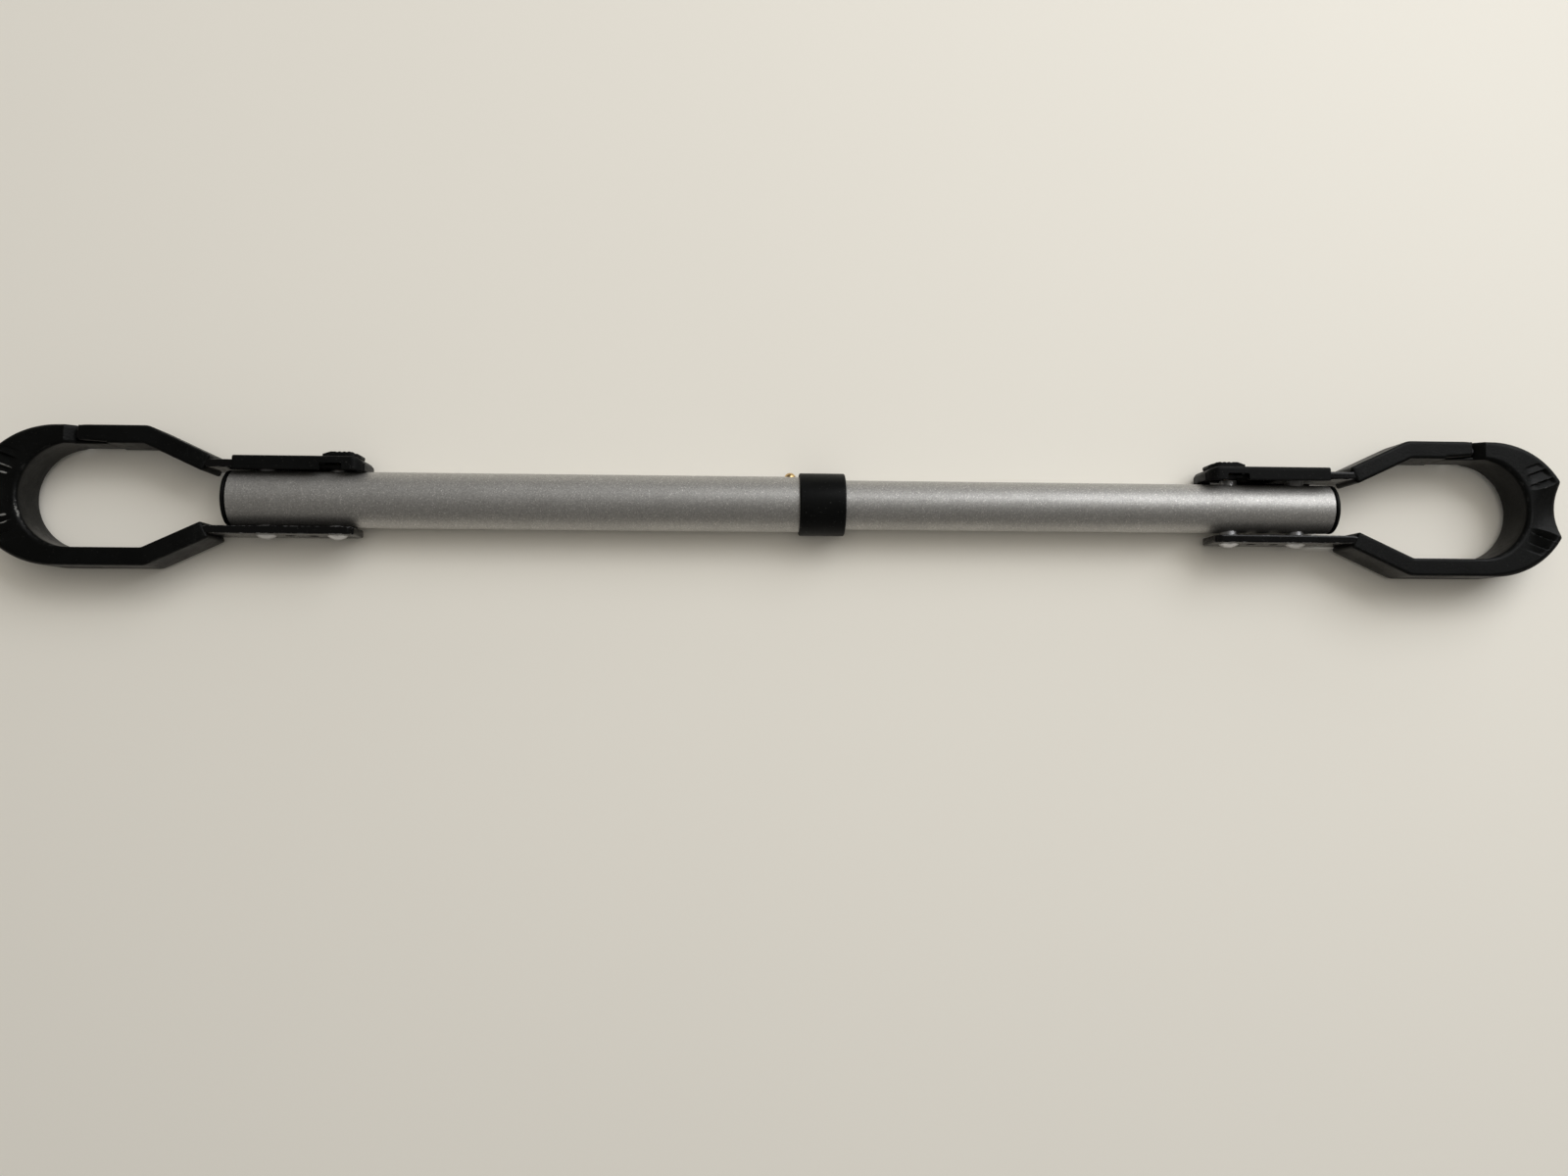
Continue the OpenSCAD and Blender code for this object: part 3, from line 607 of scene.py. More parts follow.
def smudges():
    """Slow changes in how shiny a handled surface is, from 0 to 1."""
    def build(tree, source):
        slow = noise(tree, source["Vector"], source["Size"], 4.0, 0.55)
        quick = noise(tree, source["Vector"], times(tree, source["Size"], 9.0), 2.0)
        both = calc(tree, "ADD", times(tree, slow, 0.75), times(tree, quick, 0.25))
        return {"Mask": remap(tree, both, 0.35, 0.65)}
    return group("Smudges", [VECTOR, ("Size", FLOAT, 60.0)], [("Mask", FLOAT)], build)


def use(tree, effect, place, output="Mask", **values):
    """Places a shared effect in a material, with its own values."""
    return add(tree, "ShaderNodeGroup", {"Vector": place, **values},
               node_tree=effect()).outputs[output]


def new_finish(title, **constants):
    """A material with its Principled BSDF's plain numbers set, and its object coordinates."""
    material = bpy.data.materials.new(title)
    material.use_nodes = True
    tree = material.node_tree
    bsdf = tree.nodes["Principled BSDF"]
    for key, value in constants.items():
        bsdf.inputs[key.replace("_", " ")].default_value = value
    place = add(tree, "ShaderNodeTexCoord").outputs["Object"]
    return material, tree, place


def wire(tree, tone, rough, height, distance, strength):
    """Links the colour, the roughness and the bump of a height to the shader."""
    bsdf = tree.nodes["Principled BSDF"]
    raised = add(tree, "ShaderNodeBump",
                 {"Height": height, "Distance": distance, "Strength": strength})
    tree.links.new(tone, bsdf.inputs["Base Color"])
    tree.links.new(raised.outputs[0], bsdf.inputs["Normal"])
    if rough is not None:
        tree.links.new(rough, bsdf.inputs["Roughness"])


def attribute(tree, name):
    """A value kept on the piece's own points."""
    return add(tree, "ShaderNodeAttribute", attribute_name=name).outputs["Fac"]


def rubber(title, look):
    """Moulded rubber: matte black, dusty where it is handled, chalky on its worn edges, and
    with painted highlight lines along the crests of the nose's ribs.
    """
    material, tree, place = new_finish(title, Specular_IOR_Level=0.14)
    grain = use(tree, moulded_grain, place, "Height", Size=900.0, Waves=1.2)
    cover = calc(tree, "ADD", times(tree, attribute(tree, "worn"), 0.9), 0.1)
    specks = use(tree, dust, place, Size=1500.0, Cover=cover)
    bare = use(tree, edge_wear, place, Edge=attribute(tree, "edge"), Size=260.0,
               Amount=0.12 * look.wear)
    # Scuffs on the rubbed edges, together with painted highlight lines on the nose's rib crests.
    scuffed_and_highlit = use(tree, edge_wear, place, Edge=attribute(tree, "scuff"), Size=420.0,
                  Amount=0.24 * look.wear)
    rub = use(tree, smudges, place, Size=45.0)
    tone = blend(tree, rub, rgba(look.rubber, 0.8), rgba(look.rubber, 1.25))
    # The last mask lays chalk colour both as scuffs and as painted highlight lines on the rib
    # crests.
    for mask, part in ((bare, 0.04), (specks, 0.07), (scuffed_and_highlit, 0.6)):
        tone = touch(tree, tone, mask, part, look.chalk)
    rough = calc(tree, "ADD", between(tree, rub, 0.36, 0.5), times(tree, scuffed_and_highlit, 0.2))
    wire(tree, tone, rough, grain, 0.00016, 0.7)
    return material


def silver_paint(title, look):
    """Metallic silver paint: flakes of many tones under a thin clear layer."""
    material, tree, place = new_finish(title, Metallic=0.85, Coat_Weight=0.5,
                                       Coat_Roughness=0.22, Coat_IOR=1.45)
    flake = add(tree, "ShaderNodeGroup", {"Vector": place, "Size": 2300.0},
                node_tree=metal_flake()).outputs
    fine = use(tree, metal_flake, place, "Tone", Size=5200.0)
    peel = noise(tree, place, 420.0, 2.0)
    shine = use(tree, smudges, place, Size=26.0)
    rows = stretch(tree, place, (60.0, 2600.0, 2600.0))
    lines = use(tree, hairlines, rows, Amount=0.05 * look.wear)
    mixed = calc(tree, "ADD", times(tree, flake["Tone"], 0.6), times(tree, fine, 0.4))
    tone = blend(tree, mixed, rgba(look.paint, 0.74), rgba(look.paint, 1.26))
    tone = blend(tree, flake["Spark"], tone, rgba(look.paint, 1.7))
    tone = touch(tree, tone, lines, 0.25, look.paint, 0.6)
    rough = calc(tree, "ADD", between(tree, shine, 0.46, 0.54), times(tree, flake["Tilt"], 0.1))
    height = calc(tree, "ADD", times(tree, flake["Tilt"], 0.25), peel)
    wire(tree, tone, rough, height, 0.00002, 0.5)
    return material


def black_paint(title, look):
    """Gloss black paint on steel, rubbed through to grey on a few edges."""
    material, tree, place = new_finish(title, Specular_IOR_Level=0.05, Coat_Weight=0.4,
                                       Coat_Roughness=0.05)
    bare = use(tree, edge_wear, place, Edge=attribute(tree, "edge"), Size=350.0,
               Amount=0.16 * look.wear)
    rows = stretch(tree, place, (90.0, 1500.0, 1500.0))
    lines = use(tree, hairlines, rows, Amount=0.03 * look.wear)
    shine = use(tree, smudges, place, Size=70.0)
    specks = use(tree, dust, place, Size=1300.0, Cover=0.12)
    tone = touch(tree, rgba(look.black_paint), specks, 0.12, look.chalk)
    tone = touch(tree, tone, lines, 0.2, look.chalk, 0.6)
    tone = touch(tree, tone, bare, 0.5, look.steel, 0.7)
    peel = noise(tree, place, 700.0, 2.0)
    wire(tree, tone, between(tree, shine, 0.2, 0.34), peel, 0.00002, 0.4)
    return material


def black_plastic(title, look):
    """Moulded black plastic with a fine spark-eroded grain and a few light scratches."""
    material, tree, place = new_finish(title, Specular_IOR_Level=0.08)
    grain = use(tree, moulded_grain, place, "Height", Size=2600.0, Waves=0.5)
    bare = use(tree, edge_wear, place, Edge=attribute(tree, "edge"), Size=500.0,
               Amount=0.1 * look.wear)
    slant = stretch(tree, place, (420.0, 420.0, 60.0))
    lines = use(tree, hairlines, slant, Amount=0.04 * look.wear)
    specks = use(tree, dust, place, Size=1600.0, Cover=0.16)
    shine = use(tree, smudges, place, Size=55.0)
    tone = blend(tree, shine, rgba(look.plastic, 0.85), rgba(look.plastic, 1.2))
    for mask, part in ((specks, 0.14), (lines, 0.16), (bare, 0.08)):
        tone = touch(tree, tone, mask, part, look.chalk)
    wire(tree, tone, between(tree, shine, 0.4, 0.5), grain, 0.00003, 0.5)
    return material


# Each bare or plated metal: its colour, roughness, clouds, dull spots, and its colour on
# the hook's side of the tubes where that is another one.
METALS = {
    "zinc_plate": ("zinc", 0.3, 0.2, 0.12),
    "turned_brass": ("brass", 0.22, 0.2, 0.2),
    "plated_stud": ("brass", 0.22, 0.2, 0.2, "zinc"),
    "drawn_steel": ("steel", 0.3, 0.25, 0.25),
    "black_oxide": ("oxide", 0.34, 0.4, 0.2),
}


def plain_metal(title, look, metal, rough, cloud, spot, far_metal=None):
    """Bare or plated metal: cloudy, with fine turning lines and dull spots."""
    material, tree, place = new_finish(title, Metallic=1.0)
    tint = getattr(look, metal)
    shine = use(tree, smudges, place, Size=220.0)
    specks = use(tree, dust, place, Size=2400.0, Cover=spot)
    fine = noise(tree, place, 4200.0, 2.0)
    tone = blend(tree, shine, rgba(tint, 1.0 - cloud), rgba(tint, 1.0 + cloud * 0.3))
    tone = touch(tree, tone, specks, 0.55, tint, 0.35)
    if far_metal:
        y = add(tree, "ShaderNodeSeparateXYZ", {0: place}).outputs[1]
        tone = blend(tree, remap(tree, y, 0.0, 0.01), rgba(getattr(look, far_metal)), tone)
    wire(tree, tone, between(tree, shine, rough, rough + 0.14), fine, 0.00001, 0.4 * look.wear)
    return material


def table_top():
    """Pale table laminate with faint clouds and a fine grain."""
    floor = settings().stage.floor
    material, tree, place = new_finish("table_top", Roughness=0.6, Specular_IOR_Level=0.25)
    cloud = noise(tree, place, 3.0, 3.0)
    fine = noise(tree, place, 900.0, 2.0)
    tone = blend(tree, cloud, rgba(floor, 0.985), rgba(floor, 1.015))
    wire(tree, tone, None, fine, 0.00002, 0.3)
    return material


def finish_named(name):
    """The bar's material of this name, made when it is first asked for."""
    title = name + "_finish"
    look = settings().finish
    done = bpy.data.materials.get(title)
    if done:
        return done
    if name in METALS:
        return plain_metal(title, look, *METALS[name])
    makers = {"rubber": rubber, "silver_paint": silver_paint, "black_paint": black_paint,
              "black_plastic": black_plastic}
    return makers[name](title, look)


# ---- shapes of the rubber ----------------------------------------------------------------

def arm_lines(loop, u_end):
    """Inner and outer line of an arm on the +Y side: slanted from the boot, rounded at
    the bend, then straight to u_end. The middle line passes half way through the rubber."""
    thickness = ARM_OUT - loop.loop_radius
    middle = ARM_OUT - thickness / 2
    low = STRAP_IN + 0.002
    slope = loop.arm_angle
    boot = np.array([loop.boot_u, low])
    bend = np.array([loop.boot_u + (middle - low) / tan(slope), middle])
    along = np.array([cos(slope), sin(slope)])
    across = np.array([-sin(slope), cos(slope)])
    miter = np.array([-tan(slope / 2), 1.0])
    part = np.linspace(0, 1, 14)[:, None]
    lines = []
    for h, radius in ((-thickness / 2, loop.bend_radius),
                      (thickness / 2, loop.bend_radius + thickness * 0.4)):
        first = boot + across * h + along * loop.edge
        last = np.array([u_end, middle + h])
        arc = fillet(first, bend + miter * h, last, radius, 9)
        ramp = first + (arc[0] - first) * part
        flat = arc[-1] + (last - arc[-1]) * part
        lines.append(np.concatenate([ramp[:-1], arc, flat[1:]]))
    return lines


def nose_reach(loop, angle):
    """Distance from the loop's middle to the nose's outline at each angle: the straight arm,
    then the curve of nose_radius, then the hollow of saddle_radius, joined by a soft least
    value, -k ln(sum exp(-r / k))."""
    c, s = np.cos(angle), np.abs(np.sin(angle))
    arm = ARM_OUT / np.maximum(s, 1e-6)
    drop = loop.nose_radius - ARM_OUT
    b = loop.nose_shift * c - drop * s
    curve = b + np.sqrt(b * b - loop.nose_shift ** 2 - drop ** 2 + loop.nose_radius ** 2)
    curve = np.where(arm * c < loop.nose_shift, arm, curve)
    far = loop.loop_radius + loop.nose_wall + loop.saddle_radius
    inside = np.maximum(loop.saddle_radius ** 2 - (far * s) ** 2, 0)
    saddle = np.where(far * s < loop.saddle_radius, far * c - np.sqrt(inside), 1.0)
    saddle = np.where(c > 0, saddle, 1.0)
    k = 0.0004
    least = np.minimum(curve, saddle)
    return least - k * np.log(np.exp((least - curve) / k) + np.exp((least - saddle) / k))


def nose_relief(loop, u, y, across):
    """How far the nose's top lies below its flat height. Three border curves cross the nose
    on each side of its middle: c(u) = c0 + c1 (u - u0) + c2 (u - u0)^2. Inside the first one
    the scoop is D (1 - (y / c)^2). Past each border the surface falls away slowly and steps
    up again at the next one. All this fades out before the nose's outer edge. Also gives
    the mark of the crests, exp(-((y - c) / w)^2)."""
    y = np.abs(y)
    mm = 0.001
    t = np.maximum(u - 156 * mm, 0)
    first = 10.05 * mm + 0.08 * t + 13.5 * t * t
    second = 12.5 * mm + 0.36 * (u - 155.3 * mm)
    third = 17.2 * mm + 0.35 * (u - 152 * mm)
    last = third + 4.2 * mm
    scoop = loop.scoop * ease(u, 0.1535, 0.174) * np.clip(1 - (y / first) ** 2, 0, 1)
    fall = np.zeros_like(u)
    crest_highlight = np.zeros_like(u)
    for low, high, part, begin in ((first, second, 1.0, 0.1545), (second, third, 1.0, 0.153),
                                   (third, last, 0.35, 0.1515)):
        q = (y - low) / (high - low)
        wall = 0.7 * mm / (high - low)
        down = np.clip(q / (1 - wall), 0, 1)
        up = ease(q, 1 - wall, 1 + 0.2 * wall)
        inside = (q > 0) & (q < 1.2)
        depth = down * (1 - up) * ease(u, begin, begin + 0.006)
        fall = np.maximum(fall, np.where(inside, part * depth, 0))
        # Crest marks, along which painted highlight lines are laid on the rubber.
        line = part * np.exp(-((y - low) / (0.9 * mm)) ** 2)
        crest_highlight = np.maximum(crest_highlight, line * ease(u, begin, begin + 0.006))
    return scoop + loop.rib_depth * fall * ease(1 - across, 0.0, 0.16), crest_highlight


def ramp_height(loop, u):
    """Half height of the hook near its end: it loses ramp_drop over ramp_length."""
    end = PIN_U + loop.hook_space
    lost = loop.ramp_drop * np.clip((end + loop.ramp_length - u) / loop.ramp_length, 0, 1)
    return RUBBER_HALF - lost


def hook_shell(loop):
    """The hook: the lower arm up to one step before the nose, the round nose on rays from
    the loop's middle, and the end with its ramp. Heights are scaled so that the top and
    the bottom follow the relief."""
    e = loop.edge
    close = 0.0005
    step = 0.0006
    inner, outer = [line * (1, -1) for line in arm_lines(loop, loop.loop_u - step)]
    angle = np.radians(np.linspace(-90, 90, 401))
    ray = np.stack([np.cos(angle), np.sin(angle)], axis=1)
    middle = np.array([loop.loop_u, 0.0])
    nose_in = middle + ray * loop.loop_radius
    nose_out = middle + ray * nose_reach(loop, angle)[:, None]
    end = PIN_U + loop.hook_space + close
    tail = np.linspace(loop.loop_u, end, 4)[1:]
    tail_in = np.stack([tail, 0 * tail + loop.loop_radius], axis=1)
    tail_out = np.stack([tail, 0 * tail + ARM_OUT], axis=1)
    inner = np.concatenate([inner, nose_in, tail_in])
    outer = np.concatenate([outer, nose_out, tail_out])
    round_nose = e + (loop.nose_edge - e) * ease(inner[:, 0], loop.loop_u, loop.loop_u + 0.014)
    lines = capped(inner, outer, RUBBER_HALF, round_nose, round_nose, e, close)
    shape = section(40, 6, 6)
    rings = band(*lines, shape)
    u, y = rings[..., 0], rings[..., 1]
    top = np.where(y > 0, ramp_height(loop, u), RUBBER_HALF)
    on_nose = u > loop.loop_u + 0.01
    relief, crest_highlight = nose_relief(loop, u, y, shape[0])
    top = top - np.where(on_nose, relief, 0)
    crest_highlight = crest_highlight * on_nose * (shape[2] > 0.99)
    rings[..., 2] *= top / RUBBER_HALF
    around = np.arctan2(y, u - loop.loop_u)
    rubbed_at, spread = -0.35, 0.5
    scuff = np.exp(-((around - rubbed_at) / spread) ** 2) * (shape[3] < 0.5) * shape[4]
    # Painted highlight lines along the rib crests join the scuffs on the rubbed edges.
    scuff = np.maximum(scuff, 1.25 * crest_highlight)
    worn = np.where(y < 0, ease(-u, -0.085, -0.062), 0)
    return rings, {"edge": shape[4], "scuff": scuff, "worn": worn}


def tongue_shell(loop):
    """The thin tongue: a wedge from the hook's end back along the inside of the gate."""
    root = PIN_U + loop.hook_space + 0.001
    tip = PIN_U + loop.hook_space - loop.tongue_length
    u = np.linspace(tip + 0.0002, root, 8)
    part = (u - tip) / (root - tip)
    thick = loop.tongue_tip + (loop.tongue_root - loop.tongue_tip) * part
    inner = np.stack([u, 0 * u + loop.loop_radius], axis=1)
    outer = np.stack([u, loop.loop_radius + thick], axis=1)
    half = RUBBER_HALF - loop.ramp_drop
    return band(*capped(inner, outer, half, 0.00015, 0.00015, 0.00015, 0.0001), section(4, 6, 2))


def gate_shell(loop):
    """The gate's rubber: an arm whose inside steps back for the tongue and whose outer end
    corner is rounded, y = top - (R - sqrt(R^2 - d^2)). Above and below the hinge the end
    reaches further and its corner is nearly square, so that it hides the pin."""
    e = loop.edge
    end = PIN_U - loop.gate_space
    close = 0.0005
    tip = PIN_U + loop.hook_space - loop.tongue_length
    tongue_gap = 0.0003
    inner, outer = arm_lines(loop, tip - 0.0002)
    turn = np.linspace(0, 1, 12)
    corner = end - loop.gate_corner
    u = np.concatenate([[tip], np.linspace(tip + 0.002, corner, 8),
                        corner + (loop.gate_corner - close) * np.sin(turn[1:] * pi / 2)])
    over = np.maximum(u - corner, 0)
    y_out = ARM_OUT - (loop.gate_corner - np.sqrt(loop.gate_corner ** 2 - over ** 2))
    slope = (loop.tongue_root - loop.tongue_tip) / loop.tongue_length
    y_in = loop.loop_radius + loop.tongue_tip + tongue_gap + slope * (u - tip)
    inner = np.concatenate([inner, np.stack([u, y_in], axis=1)])
    outer = np.concatenate([outer, np.stack([u, y_out], axis=1)])
    lines = capped(inner, outer, RUBBER_HALF, e, e, e, close)
    shape = section(12, 24, 6)
    rings = band(*lines, shape)
    hinge_half = 0.0104
    beyond = (np.abs(rings[..., 2]) > hinge_half) * (rings[..., 1] > 0)
    past = np.clip(rings[..., 0] - corner, 0, loop.gate_corner)
    lost = loop.gate_corner - np.sqrt(np.maximum(loop.gate_corner ** 2 - past ** 2, 0))
    low = loop.loop_radius + loop.tongue_root
    up = np.clip((rings[..., 1] - low) / (ARM_OUT - low - lost), 0, 1)
    rings[..., 1] += beyond * up * np.minimum(lost * 0.86, ARM_OUT - 0.14 * lost - rings[..., 1])
    rings[..., 0] += beyond * loop.ear * past / loop.gate_corner
    worn = ease(-rings[..., 0], -0.08, -0.062)
    return rings, {"edge": shape[4], "scuff": 0 * worn, "worn": worn}


def knuckle_pocket(side, steel, open_from=0.01):
    """Cutter for the hollow round the hinge knuckles, (pin + r cos t, pin + r sin t). Past
    the given distance from the pin it is as high as the arm."""
    radius = steel.knuckle / 2 + 0.0004
    arm_half = 0.0065
    t = np.linspace(0, 2 * pi, 48, endpoint=False)
    along = radius * np.cos(t)
    way = np.sign(np.sin(t) + 0.001)
    up = np.where(along > open_from, arm_half * way, radius * np.sin(t))
    disc = np.stack([PIN_U + along, PIN_Y + up], axis=1)
    half = steel.core / 2 + 0.0003
    rings = np.stack([np.column_stack([disc, 0 * t + z]) for z in (-half, half)])
    return solid(side, rings)


# ---- shapes of the steel and the plastic -------------------------------------------------

def strip(steel, loop, u_start, u_end, corner, hand):
    """A strap: flat along the tube, rounded at the bend, then slanted. Its half width at its
    free end follows the corner's arc, w/2 - R + R sin t at the distance R (1 - cos t)."""
    low = STRAP_IN + steel.thickness / 2
    bend = np.array([loop.boot_u, low])
    slope = np.array([cos(loop.arm_angle), sin(loop.arm_angle)])
    first = np.array([u_start, low])
    last = bend + slope * (u_end - loop.boot_u)
    arc = fillet(first, bend, last, steel.bend, 13)
    turn = np.linspace(0, pi / 2, 12)
    free = u_start + corner * (1 - np.cos(turn))
    flat = free[-1] + (arc[0][0] - free[-1]) * np.linspace(0, 1, 24)[1:-1]
    u = np.concatenate([free, flat])
    run = arc[-1] + (last - arc[-1]) * np.linspace(0, 1, 6)[1:, None]
    path = np.concatenate([np.stack([u, 0 * u + low], axis=1), arc, run])
    half = np.full(len(path), STRAP_HALF)
    half[:len(turn)] = STRAP_HALF - corner + corner * np.sin(turn)
    ahead = np.gradient(path, axis=0)
    ahead /= np.linalg.norm(ahead, axis=1)[:, None]
    normal = np.stack([-ahead[:, 1], ahead[:, 0]], axis=1) * steel.thickness / 2
    inner, outer = (path - normal) * (1, hand), (path + normal) * (1, hand)
    narrow = ease(path[:, 0], loop.boot_u + 0.003, loop.boot_u + 0.005)
    half = half - narrow * (STRAP_HALF - steel.core / 2)
    e = steel.edge
    lines = capped(inner, outer, half, e, e, STRAP_END, 0.0004)
    shape = section(6, 10, 5)
    return band(*lines, shape), shape[4]


def knuckle(steel, z_low, z_high, u_root):
    """One hinge knuckle with its tab: half thickness h along u, joined to the round
    sqrt(r^2 - (u - pin)^2) about the pin."""
    r = steel.knuckle / 2
    h = steel.thickness / 2
    away = 1 if u_root > PIN_U else -1
    join = np.arcsin(h / r)
    t = np.linspace(join, pi - 0.02, 24)
    u = np.concatenate([[u_root], PIN_U + away * r * np.cos(t)])
    thick = np.concatenate([[h], r * np.sin(t)])
    inner = np.stack([u, PIN_Y - thick], axis=1)
    outer = np.stack([u, PIN_Y + thick], axis=1)
    small = np.minimum(0.00025, thick * 0.5)
    rings = band(inner, outer, (z_high - z_low) / 2, small, small, section(4, 4, 3))
    rings[..., 2] += (z_high + z_low) / 2
    return rings


def cylinder_y(u, z, radius, low, high, radius_high=None):
    """A round cutter along Y, (u + r cos t, y, z + r sin t), or a cone where the second
    radius differs. Its angles start a little off the axis, clear of the pieces' own lines."""
    t = np.linspace(0, 2 * pi, 40, endpoint=False) + 0.03
    rings = []
    for y, r in ((low, radius), (high, radius_high or radius)):
        rings.append(np.column_stack([u + r * np.cos(t), 0 * t + y, z + r * np.sin(t)]))
    return np.stack(rings)


def box_bar(u_low, u_high, y_low, y_high, width, e):
    """A plain bar whose edges and ends are rounded by e."""
    u = np.linspace(u_low + e, u_high - e, 6)
    profile = np.stack([u, 0 * u + y_low, 0 * u + y_high], axis=1)
    inner, outer = profile[:, [0, 1]], profile[:, [0, 2]]
    return band(*capped(inner, outer, width / 2, e, e, e, e), section(6, 6, 3))


def housing_form(latch, inset, top, half, skirt, e):
    """The housing's form between its skirt and its top, carried along u. With q running from
    0 at the straight part to 1 at the tip, the top falls to the tip's low face as
    face + (top - face) (1 - q^2.2)^(1/2.2), and the half width loses tip_round
    (1 - sqrt(1 - q^2))."""
    bulge = 2.2
    tip = inset - latch.tip
    q = np.sin(np.linspace(1, 0, 14) * pi / 2) * (1 - e / latch.taper)
    u = np.concatenate([tip + latch.taper * (1 - q),
                        np.linspace(tip + latch.taper, latch.end - e + 5 * inset, 30)[1:]])
    q = np.maximum((tip + latch.taper - u) / latch.taper, 0)
    face = STRAP_IN + 0.001
    roof = face + (top - face) * (1 - q ** bulge) ** (1 / bulge)
    wide = half - latch.tip_round * (1 - np.sqrt(1 - q * q))
    inner = np.stack([u, 0 * u + skirt], axis=1)
    outer = np.stack([u, roof], axis=1)
    return inner, outer, wide


def housing_shell(latch):
    """The housing's outside, with its long roof edges rounded."""
    roof_out = ROOF_IN + latch.roof
    half = STRAP_HALF + SEAT_GAP + latch.wall
    e = 0.0006
    form = housing_form(latch, 0.0, roof_out, half, STRAP_IN - latch.skirt, e)
    shape = section(6, 16, 6)
    return band(*capped(*form, 0.0003, latch.edge, e, e), shape), shape[4]


def housing_cutters(side, latch, steel):
    """Shells that hollow the housing: cavity, tube, slot, windows and screw holes."""
    roof_out = ROOF_IN + latch.roof
    skirt = STRAP_IN - latch.skirt
    tube_r = 0.0145
    tube = lathe(np.array([[-0.03, tube_r], [0.06, tube_r]]), 96)
    e = 0.0002
    form = housing_form(latch, latch.wall, ROOF_IN, STRAP_HALF + SEAT_GAP, 0.01, e)
    cavity = band(*capped(*form, e, e, e, e), section(4, 4, 2))
    slot = box_bar(0.004, 0.0116, ROOF_IN - 0.001, roof_out + 0.001, 0.0084, 0.0003)
    middle = 0.0006
    window = box_bar(middle - latch.window / 2, middle + latch.window / 2, skirt - 0.003,
                     skirt + 0.0034, 0.04, 0.0009)
    holes = []
    shank_r, head_r = 0.00153, 0.00293
    for u in (steel.gate_start + 0.0035, latch.end - 0.0045):
        for z in (-0.0075, 0.0075):
            holes.append(cylinder_y(u, z, shank_r, ROOF_IN - 0.001, roof_out + 0.001))
            holes.append(cylinder_y(u, z, shank_r, roof_out - 0.0013, roof_out + 0.0001, head_r))
    return [solid(side, rings) for rings in (cavity, slot, window, tube, *holes)]


def pad_shell(latch):
    """The thumb pad: at the tip a low grip ridge and a groove, then the flat with shallow
    waves, then a slope down to half height, at y = base + h(u). Its corners at the tip
    are round in plan, w/2 - R (1 - sqrt(1 - q^2))."""
    roof_out = ROOF_IN + latch.roof
    base = roof_out + 0.0002
    top = roof_out + latch.pad_height
    flat = latch.pad_height - 0.0002
    e = 0.0004
    knots_u = np.array([-0.0118, -0.0112, -0.0106, -0.0099, -0.0096, -0.0090, 0.0020, 0.0060])
    knots_y = base + np.array([0.0008, 0.0018, 0.0021, 0.0020, 0.0014, flat, flat,
                               latch.pad_height / 2])
    u = np.linspace(knots_u[0] + e, knots_u[-1] - e, 150)
    y = np.interp(u, knots_u, knots_y)
    pitch, depth = 0.0024, 0.0004
    waves = np.clip(np.sin((u + 0.0090) / pitch * 2 * pi), 0, 1)
    y = y - depth * waves * ease(u, -0.0089, -0.0082) * ease(-u, -0.0012, -0.0004)
    soft = np.convolve(np.pad(y, 4, mode="edge"), np.ones(9) / 9, mode="valid")
    inner = np.stack([u, 0 * u + base], axis=1)
    outer = np.stack([u, np.minimum(soft, top)], axis=1)
    q = np.clip((u[0] + latch.pad_corner - u) / latch.pad_corner, 0, 0.99)
    half = latch.pad_width / 2 - latch.pad_corner * (1 - np.sqrt(1 - q * q))
    lines = capped(inner, outer, half, 0.0003, latch.pad_edge, e, e)
    shape = section(6, 14, 5)
    return band(*lines, shape), shape[4]


# ---- operators ---------------------------------------------------------------------------

class BuildHooks(bpy.types.Operator):
    """Make the rubber of both hooks, with their noses, ramps and tongues"""
    bl_idname = "adapter_bar.build_hooks"
    bl_label = "Hook rubber"

    def execute(self, context):
        bar = settings()
        # How strong the scuffs and the painted crest highlights are on each hook.
        for side, scuff_and_highlight_share in (("left", 1.0), ("right", 0.6)):
            rings, marks = hook_shell(bar.loop)
            marks["scuff"] = marks["scuff"] * scuff_and_highlight_share
            obj = marked_object(side + "_hook_grip", side, rings, marks, [tongue_shell(bar.loop)])
            carve(obj, [knuckle_pocket(side, bar.steel)])
            finish_piece(obj, HOOK_BODY[side], "rubber", side + "_hook_rubber")
        return {"FINISHED"}


class BuildGates(bpy.types.Operator):
    """Make the rubber of both gates"""
    bl_idname = "adapter_bar.build_gates"
    bl_label = "Gate rubber"

    def execute(self, context):
        bar = settings()
        for side in SIDES:
            rings, marks = gate_shell(bar.loop)
            obj = marked_object(side + "_gate_grip", side, rings, marks)
            carve(obj, [knuckle_pocket(side, bar.steel, -bar.loop.gate_space)])
            finish_piece(obj, side + "_gate", "rubber", side + "_gate_rubber")
        return {"FINISHED"}


